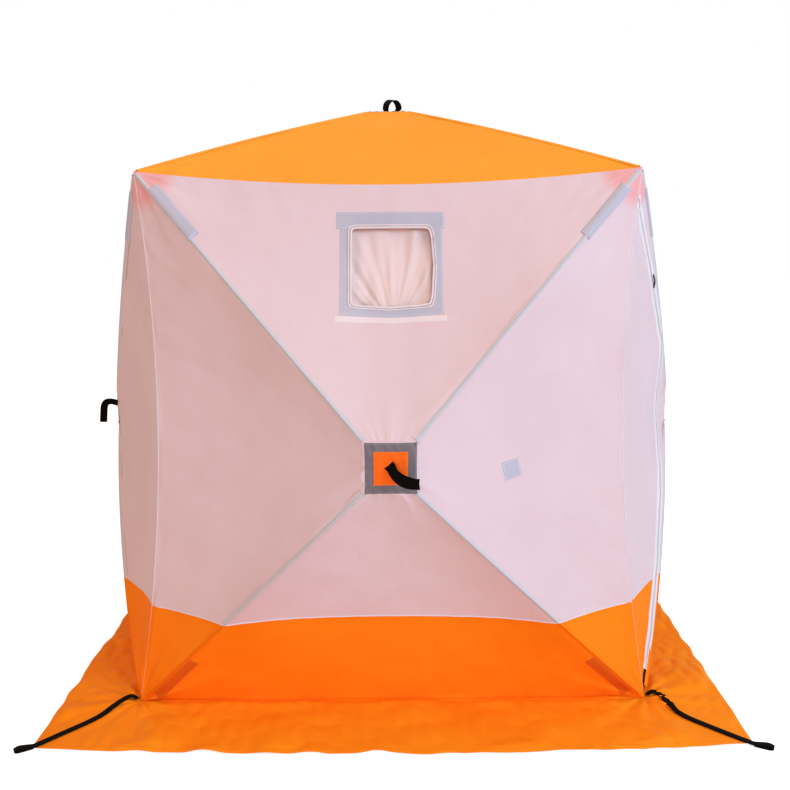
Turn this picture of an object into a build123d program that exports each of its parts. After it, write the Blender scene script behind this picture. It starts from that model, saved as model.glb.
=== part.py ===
from build123d import *
from math import atan2, degrees, sqrt
import os

os.makedirs("parts", exist_ok=True)

# Pop-up ice fishing hut: four sprung fabric walls and a roof, each pushed out by
# four rods that run from a hub at its middle to its corners.
# Millimetres, +Z up, front wall towards -Y, origin on the floor at the centre.

# Overall size of the tent
BASE = 1750.0  # side of the square on the floor
TOP = 1636.0  # side of the square at the roof corners
EAVES = 1800.0  # height of the roof corners
PEAK = 2079.0  # height of the roof hub
WALL_BULGE = 265.0  # how far a wall hub stands outside the base line
HUB_HEIGHT = 896.0  # height of the wall hubs
COLOUR_BORDER = 335.0  # height of the seam between the lower and the upper cloth

# Tension in the cloth: how far the middle of each edge leaves a straight line
CORNER_SEAM_BOW = 56.0  # inwards, along both floor directions
EAVES_SAG = 45.0  # inwards and downwards
UPPER_ROD_BOW = 9.0  # outwards
LOWER_ROD_BOW = 24.0  # outwards
ROOF_ROD_BOW = 9.0  # upwards
UPPER_PANEL_PULL = 200.0  # inward pull on the middle control point of each saddle
SIDE_PANEL_PULL = 170.0
LOWER_PANEL_PULL = 340.0
SIDE_PULL_LEAN = 0.3  # share of the side panels' pull that goes towards their seams
HUB_SQUARE = 160.0  # flat square of cloth over each hub
HUB_INSET = 106.0  # smaller square sewn on it

# Cloth, film and webbing
CLOTH = 3.0
FILM = 1.5
BLIND = 2.0
APPLIQUE = 1.6
WEBBING = 2.0

# Snow skirt
SKIRT_WIDTH = 290.0  # outside the base line
SKIRT_BOW = 44.0  # how far the front and back edges bulge past it
SKIRT_HEM = 30.0  # inside the base line, under the wall

# Windows in the upper panels of the front and back walls
WINDOW_WIDTH = 260.0
WINDOW_PLACE = 10.0  # from the middle of the wall
WINDOW_BOTTOM = 1371.0
WINDOW_TOP = 1614.0
WINDOW_FRAME_SIDE = 40.0
WINDOW_FRAME_FOOT = 32.0
WINDOW_FRAME_HEAD = 52.0
WINDOW_CORNER = 22.0
WINDOW_LAP = 18.0  # film and blind overlap the edge of the opening

# Door in the front half of the right wall, closed by one curved zip
ZIP_BAND = 22.0
ZIP_TOP = 1705.0  # where the zip starts, at the corner seam
ZIP_BOTTOM = 88.0  # where it ends, at the corner seam
ZIP_CORNER_SEAM = 830.0  # distance of both ends from the middle of the wall
ZIP_APEX = 30.0  # where its two straight runs would meet
ZIP_APEX_HEIGHT = 930.0
ZIP_NOSE_RADIUS = 400.0
ZIP_PULL_PLACE = (-520.0, 1425.0)
ZIP_PULL_LENGTH = 62.0
ZIP_PULL_WIDTH = 12.0
ZIP_PULL_THICKNESS = 4.0
ZIP_PULL_LEAN = 52.0

# Reinforcements sewn over the rod ends, and the small loop patch
STRIP_LENGTH = 215.0
STRIP_WIDTH = 38.0
STRIP_FROM_CORNER = 62.0
STRIP_OFF_ROD = 3.0
UPPER_STRIP_OFFSET = 9.0  # its centre line from the ridge over the rod
LOOP_PATCH = 60.0
LOOP_PATCH_PLACE = (394.0, 842.0)
LOOP_PATCH_TILT = 8.0

# Frame of fibreglass rods
ROD_RADIUS = 4.25
ROD_DEPTH = 13.0  # from the outside of the cloth to the rod's centre
HUB_RADIUS = 42.0
HUB_DEPTH = 26.0
HUB_BORE = 9.0
HUB_SLOT = 17.0
HUB_SOCKET_RADIUS = 7.5
HUB_SOCKET_LENGTH = 46.0
HUB_ROD_START = 40.0  # from the hub's centre to the end of each rod
HUB_ROD_DEPTH = 15.0  # from the hub's outer face to the rod's centre
HUB_FLOOR = 4.0  # left between the slots and the cloth
HUB_PIN_PLACE = 24.0  # from the hub's centre
PIN_RADIUS = 2.5
PIN_CLEARANCE = 0.15
PIN_HALF = 11.0
JOINT_INSET = 0.034  # share of the way from a corner to the middle of the hut
JOINT_RADIUS = 13.0
JOINT_SOCKET_RADIUS = 7.5
JOINT_SOCKET_LENGTH = 42.0
JOINT_ROD_STOP = 14.0  # from the joint's centre to the end of each rod

# Webbing straps
PULL_WIDTH = 34.0
PULL_REACH = 96.0
PULL_DROP = 96.0
PULL_RISE = 14.0
FRONT_PULL_SWING = 72.0  # the front strap hangs to the right
PULL_LOOP = 70.0  # height and width of the loop on the roof
WEBBING_BEND = 3.4
PEG_STRAP_WIDTH = 25.0
PEG_LOOP = 62.0  # past the corner of the skirt
PEG_LOOP_GAP = 5.0
PEG_STRAP_GAP = 4.0  # from the corner of the walls to the strap

# Values worked out from the sizes above
half_base = BASE / 2
half_top = TOP / 2
hub_out = half_base + WALL_BULGE
half_hub = HUB_SQUARE / 2
middle = Vector(0, 0, HUB_HEIGHT)
skirt_reach = half_base + SKIRT_WIDTH
inner = 1 - CLOTH / half_base  # scale of the inner face of the cloth about the middle
skin = 1 + APPLIQUE / half_base  # scale of the outer face of what is sewn on
far = 4 * BASE  # longer than anything that is cut

SIDES = {"front": 0, "right": 90, "back": 180, "left": 270}


def toward_middle(point, scale):
    """The point moved along its line to the middle of the hut."""
    return middle + (point - middle) * scale


def bowed(start, end, offset):
    """The point halfway between two points, moved by an offset."""
    return (start + end) * 0.5 + Vector(*offset)


def edge_pull(start, through, end):
    """The control point that makes a quadratic curve pass through a point."""
    return through * 2 - (start + end) * 0.5


def stretched_panel(a, b, c, d, ab, ac, bd, cd, pull=(0, 0, 0)):
    """Control points of a panel with corners a, b, c, d, whose four edges pass through
    the points ab, ac, bd and cd. The middle is blended from the edges and pulled in, so
    the panel is a saddle as taut cloth is."""
    ab, cd = edge_pull(a, ab, b), edge_pull(c, cd, d)
    ac, bd = edge_pull(a, ac, c), edge_pull(b, bd, d)
    centre = (ab + cd + ac + bd) * 0.5 - (a + b + c + d) * 0.25 + Vector(*pull)
    return [[a, ab, b], [ac, centre, bd], [c, cd, d]]


def scaled_grid(grid, scale):
    return [[toward_middle(point, scale) for point in row] for row in grid]


def layer(grids, borders, low, high):
    """A closed sheet of cloth between two scales of the same panels. Its side faces
    run along the borders towards the middle of the hut, so that sheets that share a
    seam touch all along it and nowhere overlap."""
    faces = []
    for grid in grids:
        faces.append(Face.make_bezier_surface(scaled_grid(grid, high)))
        faces.append(Face.make_bezier_surface(scaled_grid(grid, low)))
    for border in borders:
        rim = [[toward_middle(point, scale) for point in border] for scale in (high, low)]
        faces.append(Face.make_bezier_surface(rim))
    return Solid(Shell(faces))


# Corners and hub square of the front wall
low_left = Vector(-half_base, -half_base, 0)
low_right = Vector(half_base, -half_base, 0)
top_left = Vector(-half_top, -half_top, EAVES)
top_right = Vector(half_top, -half_top, EAVES)
hub_ul = Vector(-half_hub, -hub_out, HUB_HEIGHT + half_hub)
hub_ur = Vector(half_hub, -hub_out, HUB_HEIGHT + half_hub)
hub_ll = Vector(-half_hub, -hub_out, HUB_HEIGHT - half_hub)
hub_lr = Vector(half_hub, -hub_out, HUB_HEIGHT - half_hub)

seam_left = bowed(low_left, top_left, (CORNER_SEAM_BOW, CORNER_SEAM_BOW, 0))
seam_right = bowed(low_right, top_right, (-CORNER_SEAM_BOW, CORNER_SEAM_BOW, 0))
seam_eaves = bowed(top_left, top_right, (0, EAVES_SAG, -EAVES_SAG))
seam_floor = bowed(low_left, low_right, (0, 0, 0))
rod_ul = bowed(top_left, hub_ul, (0, -UPPER_ROD_BOW, 0))
rod_ur = bowed(top_right, hub_ur, (0, -UPPER_ROD_BOW, 0))
rod_ll = bowed(low_left, hub_ll, (0, -LOWER_ROD_BOW, 0))
rod_lr = bowed(low_right, hub_lr, (0, -LOWER_ROD_BOW, 0))


def between(a, b):
    return (a + b) * 0.5


side_lean = SIDE_PANEL_PULL * SIDE_PULL_LEAN
upper_grid = stretched_panel(
    top_left,
    top_right,
    hub_ul,
    hub_ur,
    seam_eaves,
    rod_ul,
    rod_ur,
    between(hub_ul, hub_ur),
    (0, UPPER_PANEL_PULL, 0),
)
right_grid = stretched_panel(
    top_right,
    low_right,
    hub_ur,
    hub_lr,
    seam_right,
    rod_ur,
    rod_lr,
    between(hub_ur, hub_lr),
    (-side_lean, SIDE_PANEL_PULL, 0),
)
lower_grid = stretched_panel(
    low_right,
    low_left,
    hub_lr,
    hub_ll,
    seam_floor,
    rod_lr,
    rod_ll,
    between(hub_lr, hub_ll),
    (0, LOWER_PANEL_PULL, 0),
)
left_grid = stretched_panel(
    low_left,
    top_left,
    hub_ll,
    hub_ul,
    seam_left,
    rod_ll,
    rod_ul,
    between(hub_ll, hub_ul),
    (side_lean, SIDE_PANEL_PULL, 0),
)
hub_grid = [[hub_ul, hub_ur], [hub_ll, hub_lr]]

wall_grids = [upper_grid, right_grid, lower_grid, left_grid, hub_grid]
wall_borders = [upper_grid[0], right_grid[0], lower_grid[0], left_grid[0]]


def wall_layer(low, high):
    """A layer over the whole front wall."""
    return layer(wall_grids, wall_borders, low, high)


def above(solid, height):
    return split(solid, bisect_by=Plane.XY.offset(height), keep=Keep.TOP)


def below(solid, height):
    return split(solid, bisect_by=Plane.XY.offset(height), keep=Keep.BOTTOM)


def turned(shape, side):
    """A piece of the front wall, carried round to another side."""
    return Rot(0, 0, SIDES[side]) * shape


def save(shape, name):
    export_step(shape, "parts/" + name + ".step")


# Walls: the skirt's hem passes under them, so they start on its upper face
wall = above(wall_layer(inner, 1), CLOTH)
wall_upper = above(wall, COLOUR_BORDER)
wall_lower = below(wall, COLOUR_BORDER)


def prism_y(sketch):
    """A sketch drawn in X and Z, as a bar along Y through the front wall."""
    return extrude(Plane.XZ * sketch, hub_out * 1.5)


# Window opening, frame, film and blind, drawn looking at the wall from the front
window_centre = (WINDOW_BOTTOM + WINDOW_TOP) / 2
window_height = WINDOW_TOP - WINDOW_BOTTOM
frame_bottom = WINDOW_BOTTOM - WINDOW_FRAME_FOOT
frame_top = WINDOW_TOP + WINDOW_FRAME_HEAD
opening = Pos(WINDOW_PLACE, window_centre) * RectangleRounded(WINDOW_WIDTH, window_height, WINDOW_CORNER)
frame_outline = Pos(WINDOW_PLACE, (frame_bottom + frame_top) / 2) * Rectangle(
    WINDOW_WIDTH + 2 * WINDOW_FRAME_SIDE, frame_top - frame_bottom
)
lapped = Pos(WINDOW_PLACE, window_centre) * Rectangle(
    WINDOW_WIDTH + 2 * WINDOW_LAP, window_height + 2 * WINDOW_LAP
)
upper_borders = [
    upper_grid[0],
    [row[2] for row in upper_grid],
    upper_grid[2],
    [row[0] for row in upper_grid],
]


def upper_layer(low, high):
    """A layer over the upper panel alone."""
    return layer([upper_grid], upper_borders, low, high)


film_inner = inner - FILM / half_base
blind_inner = film_inner - BLIND / half_base
window_frame = upper_layer(1, skin) & prism_y(frame_outline - opening)
window_film = upper_layer(film_inner, inner) & prism_y(lapped)
window_blind = upper_layer(blind_inner, film_inner) & prism_y(lapped)
windowed_upper = wall_upper - prism_y(opening)

save(turned(windowed_upper, "front"), "front_wall_upper")
save(turned(windowed_upper, "back"), "back_wall_upper")
save(turned(wall_upper, "left"), "left_wall_upper")
for side in ("front", "back", "left"):
    save(turned(wall_lower, side), side + "_wall_lower")
for side in ("front", "back"):
    save(turned(window_frame, side), side + "_window_frame")
    save(turned(window_film, side), side + "_window_film")
    save(turned(window_blind, side), side + "_window_blind")

# Door: the zip follows the two rods and turns round a wide nose beside the hub
zip_apex = (-ZIP_APEX, ZIP_APEX_HEIGHT)


def door_outline(spread):
    """The door's outline in Y and Z, wider all round by a spread. It runs past the
    corner seam, because the door is sewn to the seam along its straight side."""
    start = Vector(-ZIP_CORNER_SEAM, ZIP_TOP)
    end = Vector(-ZIP_CORNER_SEAM, ZIP_BOTTOM)
    apex = Vector(*zip_apex)
    run_up = (start - apex).normalized()
    run_down = (end - apex).normalized()
    corner_up = apex + run_up * BASE
    corner_down = apex + run_down * BASE
    triangle = make_face(Polyline(apex, corner_up, corner_down, close=True))
    nose = triangle.vertices().sort_by(Axis.X)[-1]
    rounded = fillet(nose, ZIP_NOSE_RADIUS)
    return offset(rounded, spread) if spread else rounded


def prism_x(sketch):
    """A sketch drawn in Y and Z, as a bar along X through the right wall."""
    return extrude(Plane.YZ * sketch, hub_out * 1.5)


door_leaf = prism_x(door_outline(0))
door_gap = prism_x(door_outline(ZIP_BAND))
right_wall = turned(wall, "right")
door_panel = right_wall & door_leaf
zip_panel = (right_wall & door_gap) - door_leaf
right_wall_open = right_wall - door_gap
save(above(right_wall_open, COLOUR_BORDER), "right_wall_upper")
save(below(right_wall_open, COLOUR_BORDER), "right_wall_lower")
save(above(door_panel, COLOUR_BORDER), "door_upper")
save(below(door_panel, COLOUR_BORDER), "door_lower")
save(zip_panel, "door_zip")

# Zip pull, hanging beside the upper run of the zip
left_borders = [
    left_grid[0],
    [row[2] for row in left_grid],
    left_grid[2],
    [row[0] for row in left_grid],
]
pull_skin = 1 + ZIP_PULL_THICKNESS / half_base
pull_outline = (
    Pos(*ZIP_PULL_PLACE) * Rot(0, 0, -ZIP_PULL_LEAN) * SlotOverall(ZIP_PULL_LENGTH, ZIP_PULL_WIDTH)
)
beside_zip = turned(layer([left_grid], left_borders, 1, pull_skin), "right")
save(beside_zip & prism_x(pull_outline), "door_zip_pull")

# Roof: the same panel four times round a flat square over the roof hub
roof_left = Vector(-half_hub, -half_hub, PEAK)
roof_right = Vector(half_hub, -half_hub, PEAK)
roof_rod_left = bowed(top_left, roof_left, (0, 0, ROOF_ROD_BOW))
roof_rod_right = bowed(top_right, roof_right, (0, 0, ROOF_ROD_BOW))
roof_front = stretched_panel(
    top_left,
    top_right,
    roof_left,
    roof_right,
    seam_eaves,
    roof_rod_left,
    roof_rod_right,
    between(roof_left, roof_right),
)


def turned_grid(grid, angle):
    return [[point.rotate(Axis.Z, angle) for point in row] for row in grid]


roof_panels = [turned_grid(roof_front, angle) for angle in SIDES.values()]
roof_square = [
    [roof_left, roof_right],
    [roof_right.rotate(Axis.Z, 180), roof_left.rotate(Axis.Z, 180)],
]
roof = layer(roof_panels + [roof_square], [panel[0] for panel in roof_panels], inner, 1)
save(roof, "roof")

# Square patches sewn over the five hubs, each with a smaller square at its middle
hub_borders = [hub_grid[0], [hub_ur, hub_lr], [hub_lr, hub_ll], [hub_ll, hub_ul]]
patch_face = hub_out * skin
wall_patch = layer([hub_grid], hub_borders, 1, skin)
inset_square = extrude(
    Plane.XZ.offset(patch_face) * (Pos(0, HUB_HEIGHT) * Rectangle(HUB_INSET, HUB_INSET)), APPLIQUE
)
wall_patch += inset_square
roof_patch = Pos(0, 0, PEAK + APPLIQUE / 2) * Box(HUB_SQUARE, HUB_SQUARE, APPLIQUE)
roof_patch += Pos(0, 0, PEAK + 1.5 * APPLIQUE) * Box(HUB_INSET, HUB_INSET, APPLIQUE)
save(Compound([turned(wall_patch, side) for side in SIDES] + [roof_patch]), "hub_patches")

# Strips sewn over the rod ends, beside the rods, on every wall
lower_borders = [
    lower_grid[0],
    [row[2] for row in lower_grid],
    lower_grid[2],
    [row[0] for row in lower_grid],
]


def rod_end_strip(panel_layer, corner, hub_corner, beside):
    """A strip along a rod, starting a little way from its corner of the wall."""
    lean = degrees(atan2(hub_corner.Z - corner.Z, hub_corner.X - corner.X))
    place = Pos(corner.X, corner.Z) * Rot(0, 0, lean)
    outline = place * Pos(STRIP_FROM_CORNER + STRIP_LENGTH / 2, beside) * Rectangle(
        STRIP_LENGTH, STRIP_WIDTH
    )
    return panel_layer & prism_y(outline)


beside_rod = STRIP_OFF_ROD + STRIP_WIDTH / 2
upper_strip = rod_end_strip(wall_layer(1, skin), top_left, hub_ul, UPPER_STRIP_OFFSET)
lower_strip = rod_end_strip(
    layer([lower_grid], lower_borders, 1, skin), low_left, hub_ll, -beside_rod
)
lower_strip = above(lower_strip, CLOTH)
for strip, name in ((upper_strip, "upper_rod_end_strips"), (lower_strip, "lower_rod_end_strips")):
    pair = [strip, mirror(strip, about=Plane.YZ)]
    save(Compound([turned(one, side) for side in SIDES for one in pair]), name)

# Loop patch on the right-hand panel of the front wall
right_borders = [
    right_grid[0],
    [row[2] for row in right_grid],
    right_grid[2],
    [row[0] for row in right_grid],
]
loop_outline = (
    Pos(*LOOP_PATCH_PLACE) * Rot(0, 0, LOOP_PATCH_TILT) * Rectangle(LOOP_PATCH, LOOP_PATCH)
)
save(layer([right_grid], right_borders, 1, skin) & prism_y(loop_outline), "front_loop_patch")

# Snow skirt: four strips mitred at the corners, flat on the floor
hem = half_base - SKIRT_HEM
skirt_sides = Polyline(
    (skirt_reach, -skirt_reach), (hem, -hem), (-hem, -hem), (-skirt_reach, -skirt_reach)
)
straight_edge = Line((-skirt_reach, -skirt_reach), (skirt_reach, -skirt_reach))
bowed_edge = ThreePointArc(
    (-skirt_reach, -skirt_reach), (0, -skirt_reach - SKIRT_BOW), (skirt_reach, -skirt_reach)
)
for side in SIDES:
    edge = bowed_edge if side in ("front", "back") else straight_edge
    skirt = extrude(make_face(skirt_sides + edge), CLOTH)
    save(turned(skirt, side), side + "_skirt")

# Rods: each is sprung into an arc from its hub to a corner joint
hub_face = hub_out * inner  # the hubs press against the inside of the cloth
rod_scale = 1 - ROD_DEPTH / half_base
joint_scale = 1 - JOINT_INSET


def hub_end(corner):
    """Where a rod of the front wall starts at its hub."""
    centre = Vector(0, HUB_ROD_DEPTH - hub_face, HUB_HEIGHT)
    aim = Vector(corner.X, 0, corner.Z - HUB_HEIGHT).normalized()
    return centre + aim * HUB_ROD_START


def joint_end(corner, start):
    """Where the rod stops inside the joint at a corner."""
    centre = toward_middle(corner, joint_scale)
    return centre + (start - centre).normalized() * JOINT_ROD_STOP


def rod_arc(start, through, end):
    return ThreePointArc(start, toward_middle(through, rod_scale), end)


def rod(arc):
    return sweep(Plane(origin=arc @ 0, z_dir=arc % 0) * Circle(ROD_RADIUS), path=arc)


def tube_along(start, aim, radius, length):
    """A round bar from a point along a direction."""
    return extrude(Plane(origin=start, z_dir=aim) * Circle(radius), length)


wall_arcs = []
for corner, through in (
    (top_left, rod_ul),
    (top_right, rod_ur),
    (low_right, rod_lr),
    (low_left, rod_ll),
):
    start = hub_end(corner)
    wall_arcs.append(rod_arc(start, through, joint_end(corner, start)))

roof_hub_face = HUB_HEIGHT + (PEAK - HUB_HEIGHT) * inner
roof_aim = Vector(1, -1, 0).normalized()
roof_start = Vector(0, 0, roof_hub_face - HUB_ROD_DEPTH) + roof_aim * HUB_ROD_START
roof_arc = rod_arc(roof_start, roof_rod_right, joint_end(top_right, roof_start))


def fitted_rod(arc, across):
    """A rod with the moulded end that hangs on its hub's pin."""
    bar = rod(arc)
    aim = arc % 0
    eye = arc @ 0 - aim * (HUB_ROD_START - HUB_PIN_PLACE)
    end = tube_along(eye, aim, HUB_SOCKET_RADIUS, HUB_SOCKET_LENGTH)
    end += Pos(*eye) * Sphere(HUB_SOCKET_RADIUS)
    pin_hole = tube_along(eye - across * far, across, PIN_RADIUS + PIN_CLEARANCE, 2 * far)
    return (bar + end) - pin_hole, eye


def hub(face_plane, rods):
    """A moulded disc with a slot and a pin for the end of each rod."""
    disc = extrude(face_plane * Circle(HUB_RADIUS), HUB_DEPTH)
    disc = chamfer(disc.faces().sort_by(Axis(face_plane.origin, face_plane.z_dir))[-1].edges(), 3)
    disc -= extrude(face_plane * Circle(HUB_BORE / 2), HUB_DEPTH)
    for aim, across, eye in rods:
        slot_plane = Plane(origin=eye, x_dir=aim, z_dir=face_plane.z_dir)
        slot = Pos(HUB_RADIUS / 2 - HUB_SOCKET_RADIUS - PIN_CLEARANCE, 0, 0) * Box(
            HUB_RADIUS, HUB_SLOT, 2 * (HUB_DEPTH - HUB_FLOOR)
        )
        disc -= slot_plane * slot
    for aim, across, eye in rods:
        disc += tube_along(eye - across * PIN_HALF, across, PIN_RADIUS, 2 * PIN_HALF)
    return disc


wall_rods = []
wall_ends = []
for arc in wall_arcs:
    outward = Vector(0, -1, 0)
    flat_aim = Vector((arc % 0).X, 0, (arc % 0).Z).normalized()
    across = flat_aim.cross(outward)
    one, eye = fitted_rod(arc, across)
    wall_rods.append(one)
    wall_ends.append((flat_aim, across, eye))
wall_hub = hub(Plane(origin=(0, -hub_face, HUB_HEIGHT), z_dir=(0, 1, 0)), wall_ends)

roof_rods = []
roof_ends = []
roof_across = roof_aim.cross(Vector(0, 0, 1))
one, eye = fitted_rod(roof_arc, roof_across)
for angle in SIDES.values():
    roof_rods.append(Rot(0, 0, angle) * one)
    roof_ends.append(
        (roof_aim.rotate(Axis.Z, angle), roof_across.rotate(Axis.Z, angle), eye.rotate(Axis.Z, angle))
    )
roof_hub = hub(Plane(origin=(0, 0, roof_hub_face), z_dir=(0, 0, -1)), roof_ends)

for side in SIDES:
    save(Compound([turned(one, side) for one in wall_rods]), side + "_rods")
    save(turned(wall_hub, side), side + "_hub")
save(Compound(roof_rods), "roof_rods")
save(roof_hub, "roof_hub")


def corner_joint(corner, arcs):
    """A moulded ball with a socket for the end of each rod that meets in a corner."""
    centre = toward_middle(corner, joint_scale)
    joint = Pos(*centre) * Sphere(JOINT_RADIUS)
    for arc in arcs:
        joint += tube_along(centre, arc % 1 * -1, JOINT_SOCKET_RADIUS, JOINT_SOCKET_LENGTH)
    for arc in arcs:
        joint -= rod(arc)
    return joint


def carried(arc, side):
    return arc.rotate(Axis.Z, SIDES[side])


# The right wall's left rods meet the front wall's right rods at the same corner
upper_joint = corner_joint(top_right, [wall_arcs[1], carried(wall_arcs[0], "right"), roof_arc])
lower_joint = corner_joint(low_right, [wall_arcs[2], carried(wall_arcs[3], "right")])
save(Compound([turned(upper_joint, side) for side in SIDES]), "upper_corner_joints")
save(Compound([turned(lower_joint, side) for side in SIDES]), "lower_corner_joints")

# Straps: one to pull each hub out, and one at each corner for a ground peg


def webbing_strip(points, thickness, width, plane):
    """Webbing that bends round a chain of points, drawn in a plane and widened to
    both sides of it."""
    line = FilletPolyline(*points, radius=WEBBING_BEND)
    return extrude(plane * trace(line, thickness), width / 2, both=True)


hub_pad = hub_out * skin + APPLIQUE
pull_points = (
    (0, 0),
    (PULL_REACH * 0.16, 0),
    (PULL_REACH * 0.45, PULL_RISE),
    (PULL_REACH * 0.85, PULL_RISE * 0.3),
    (PULL_REACH, -PULL_DROP * 0.45),
    (PULL_REACH * 0.96, -PULL_DROP),
)
hanging = Plane(origin=(0, -hub_pad, HUB_HEIGHT), x_dir=(0, -1, 0), z_dir=(1, 0, 0))
wall_strap = webbing_strip(pull_points, 2 * WEBBING, PULL_WIDTH, hanging)
swung_strap = wall_strap.rotate(Axis((0, 0, HUB_HEIGHT), (0, -1, 0)), FRONT_PULL_SWING)
for side in SIDES:
    strap = swung_strap if side == "front" else wall_strap
    save(turned(strap, side), side + "_pull_strap")
roof_points = (
    (-PULL_LOOP * 0.1, 0),
    (-PULL_LOOP * 0.1, PULL_LOOP * 0.12),
    (-PULL_LOOP * 0.42, PULL_LOOP * 0.42),
    (-PULL_LOOP * 0.3, PULL_LOOP * 0.96),
    (PULL_LOOP * 0.34, PULL_LOOP),
    (PULL_LOOP * 0.5, PULL_LOOP * 0.5),
    (PULL_LOOP * 0.12, PULL_LOOP * 0.14),
    (PULL_LOOP * 0.12, 0),
)
standing = Plane(origin=(0, 0, PEAK + 2 * APPLIQUE), x_dir=(1, 0, 0), z_dir=(0, -1, 0))
save(webbing_strip(roof_points, 2 * WEBBING, PULL_WIDTH, standing), "roof_pull_strap")

sewn_start = sqrt(2) * half_base + PEG_STRAP_GAP
sewn_end = sqrt(2) * skirt_reach
loop_top = 2 * WEBBING + PEG_LOOP_GAP
peg_points = (
    (sewn_start, CLOTH + WEBBING / 2),
    (sewn_end, CLOTH + WEBBING / 2),
    (sewn_end + PEG_LOOP * 0.35, loop_top - WEBBING / 2),
    (sewn_end + PEG_LOOP, loop_top - WEBBING / 2),
    (sewn_end + PEG_LOOP, WEBBING / 2),
    (sewn_end + WEBBING, WEBBING / 2),
)
diagonal = Plane(origin=(0, 0, 0), x_dir=Vector(1, -1, 0).normalized(), z_dir=(-1, -1, 0))
peg_strap = webbing_strip(peg_points, WEBBING, PEG_STRAP_WIDTH, diagonal)
save(Compound([turned(peg_strap, side) for side in SIDES]), "corner_peg_straps")
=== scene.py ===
import bmesh
import bpy
import numpy as np
from mathutils import Matrix


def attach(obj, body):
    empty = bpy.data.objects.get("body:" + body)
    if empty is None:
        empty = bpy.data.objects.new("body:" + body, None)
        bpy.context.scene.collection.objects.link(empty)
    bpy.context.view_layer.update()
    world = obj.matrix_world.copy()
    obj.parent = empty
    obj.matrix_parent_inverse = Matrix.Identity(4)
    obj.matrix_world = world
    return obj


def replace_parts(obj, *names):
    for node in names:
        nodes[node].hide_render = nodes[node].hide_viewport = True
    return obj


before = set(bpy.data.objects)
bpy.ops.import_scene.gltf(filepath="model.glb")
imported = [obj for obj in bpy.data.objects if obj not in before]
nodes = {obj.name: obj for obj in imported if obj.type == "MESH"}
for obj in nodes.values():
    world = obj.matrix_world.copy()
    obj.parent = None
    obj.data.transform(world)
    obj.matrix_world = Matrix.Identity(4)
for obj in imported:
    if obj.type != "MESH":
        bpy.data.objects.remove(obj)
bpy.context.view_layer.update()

# Rods, hubs and corner joints, which show only through the openings. The rods are pultruded
# glass fibre, dark and faintly streaked along; the moulded parts are black nylon that hang
# on steel-grey pins in the hubs and grip the rods in deep sockets at the corners.


def linear(code):
    """The linear colour of an sRGB hex code: each channel is divided by 12.92 near black,
    and elsewhere moved, scaled and raised to the power 2.4."""
    c = np.array([int(code[i : i + 2], 16) for i in (1, 3, 5)]) / 255
    c = np.where(c <= 0.04045, c / 12.92, ((c + 0.055) / 1.055) ** 2.4)
    return (*c.tolist(), 1.0)


def unit(v):
    """Vectors scaled to length one."""
    return v / np.linalg.norm(v, axis=-1, keepdims=True)


def add(tree, kind, sockets=None, **settings):
    """Adds one node with its settings. A socket gets a value, or a link when what it is given
    is another node's output."""
    node = tree.nodes.new("ShaderNode" + kind)
    for name, value in settings.items():
        setattr(node, name, value)
    for name, value in (sockets or {}).items():
        if isinstance(value, bpy.types.NodeSocket):
            tree.links.new(value, node.inputs[name])
        else:
            node.inputs[name].default_value = value
    return node


def finish_named(name):
    """An empty material, its tree and its Principled shader, joined to the output."""
    made = bpy.data.materials.new(name)
    made.use_nodes = True
    tree = made.node_tree
    tree.nodes.clear()
    shader = add(tree, "BsdfPrincipled")
    add(tree, "OutputMaterial", {"Surface": shader.outputs[0]})
    return made, tree, shader


def toned(tree, shader, height, dark, pale, strength, distance, roughness):
    """Joins a texture to a shader: it mixes two tones, and is the height of a relief."""
    tone = add(tree, "ValToRGB", {"Fac": height})
    tone.color_ramp.elements[0].color = linear(dark)
    tone.color_ramp.elements[1].color = linear(pale)
    relief = add(tree, "Bump", {"Height": height, "Strength": strength, "Distance": distance})
    tree.links.new(tone.outputs["Color"], shader.inputs["Base Color"])
    tree.links.new(relief.outputs["Normal"], shader.inputs["Normal"])
    shader.inputs["Roughness"].default_value = roughness
    return tone


# Pultruded glass fibre: dark grey-green resin over straight fibres, smooth, with faint streaks
fibreglass, tree, shader = finish_named("pultruded_fibreglass")
place = add(tree, "TexCoord")
streaks = add(tree, "TexNoise", {"Vector": place.outputs["Object"], "Scale": 260.0, "Detail": 3.0})
toned(tree, shader, streaks.outputs["Fac"], "#23241f", "#4a4a40", 0.2, 0.0006, 0.38)
shader.inputs["IOR"].default_value = 1.52

# Injection-moulded nylon: black, satin, with the fine spark-eroded grain of the mould
nylon, tree, shader = finish_named("moulded_black_nylon")
place = add(tree, "TexCoord")
grain = add(tree, "TexNoise", {"Vector": place.outputs["Object"], "Scale": 900.0, "Detail": 2.0})
toned(tree, shader, grain.outputs["Fac"], "#0f0f10", "#1d1c1c", 0.25, 0.0004, 0.47)
shader.inputs["IOR"].default_value = 1.53

SIDES = ("front", "right", "back", "left")
for side in SIDES + ("roof",):
    for name, made in ((side + "_rods", fibreglass), (side + "_hub", nylon)):
        for held in nodes[name].material_slots:
            held.material = made
for name in ("upper_corner_joints", "lower_corner_joints"):
    for held in nodes[name].material_slots:
        held.material = nylon

# Walls: coated polyester cloth in four gores that meet over the rods, white above and orange
# below the colour seam. The rods push each wall out at its hub, so every gore is a saddle that
# is taut along its edges, with gathers where it is sewn in at the hub patch and at the corners.
HALF_BASE = 0.875
HALF_TOP = 0.818
EAVES = 1.800
HUB_OUT = 1.140
HUB_HEIGHT = 0.896
HALF_HUB = 0.080
COLOUR_SEAM = 0.335
FLOOR_GAP = 0.004
STEPS = 96

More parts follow.
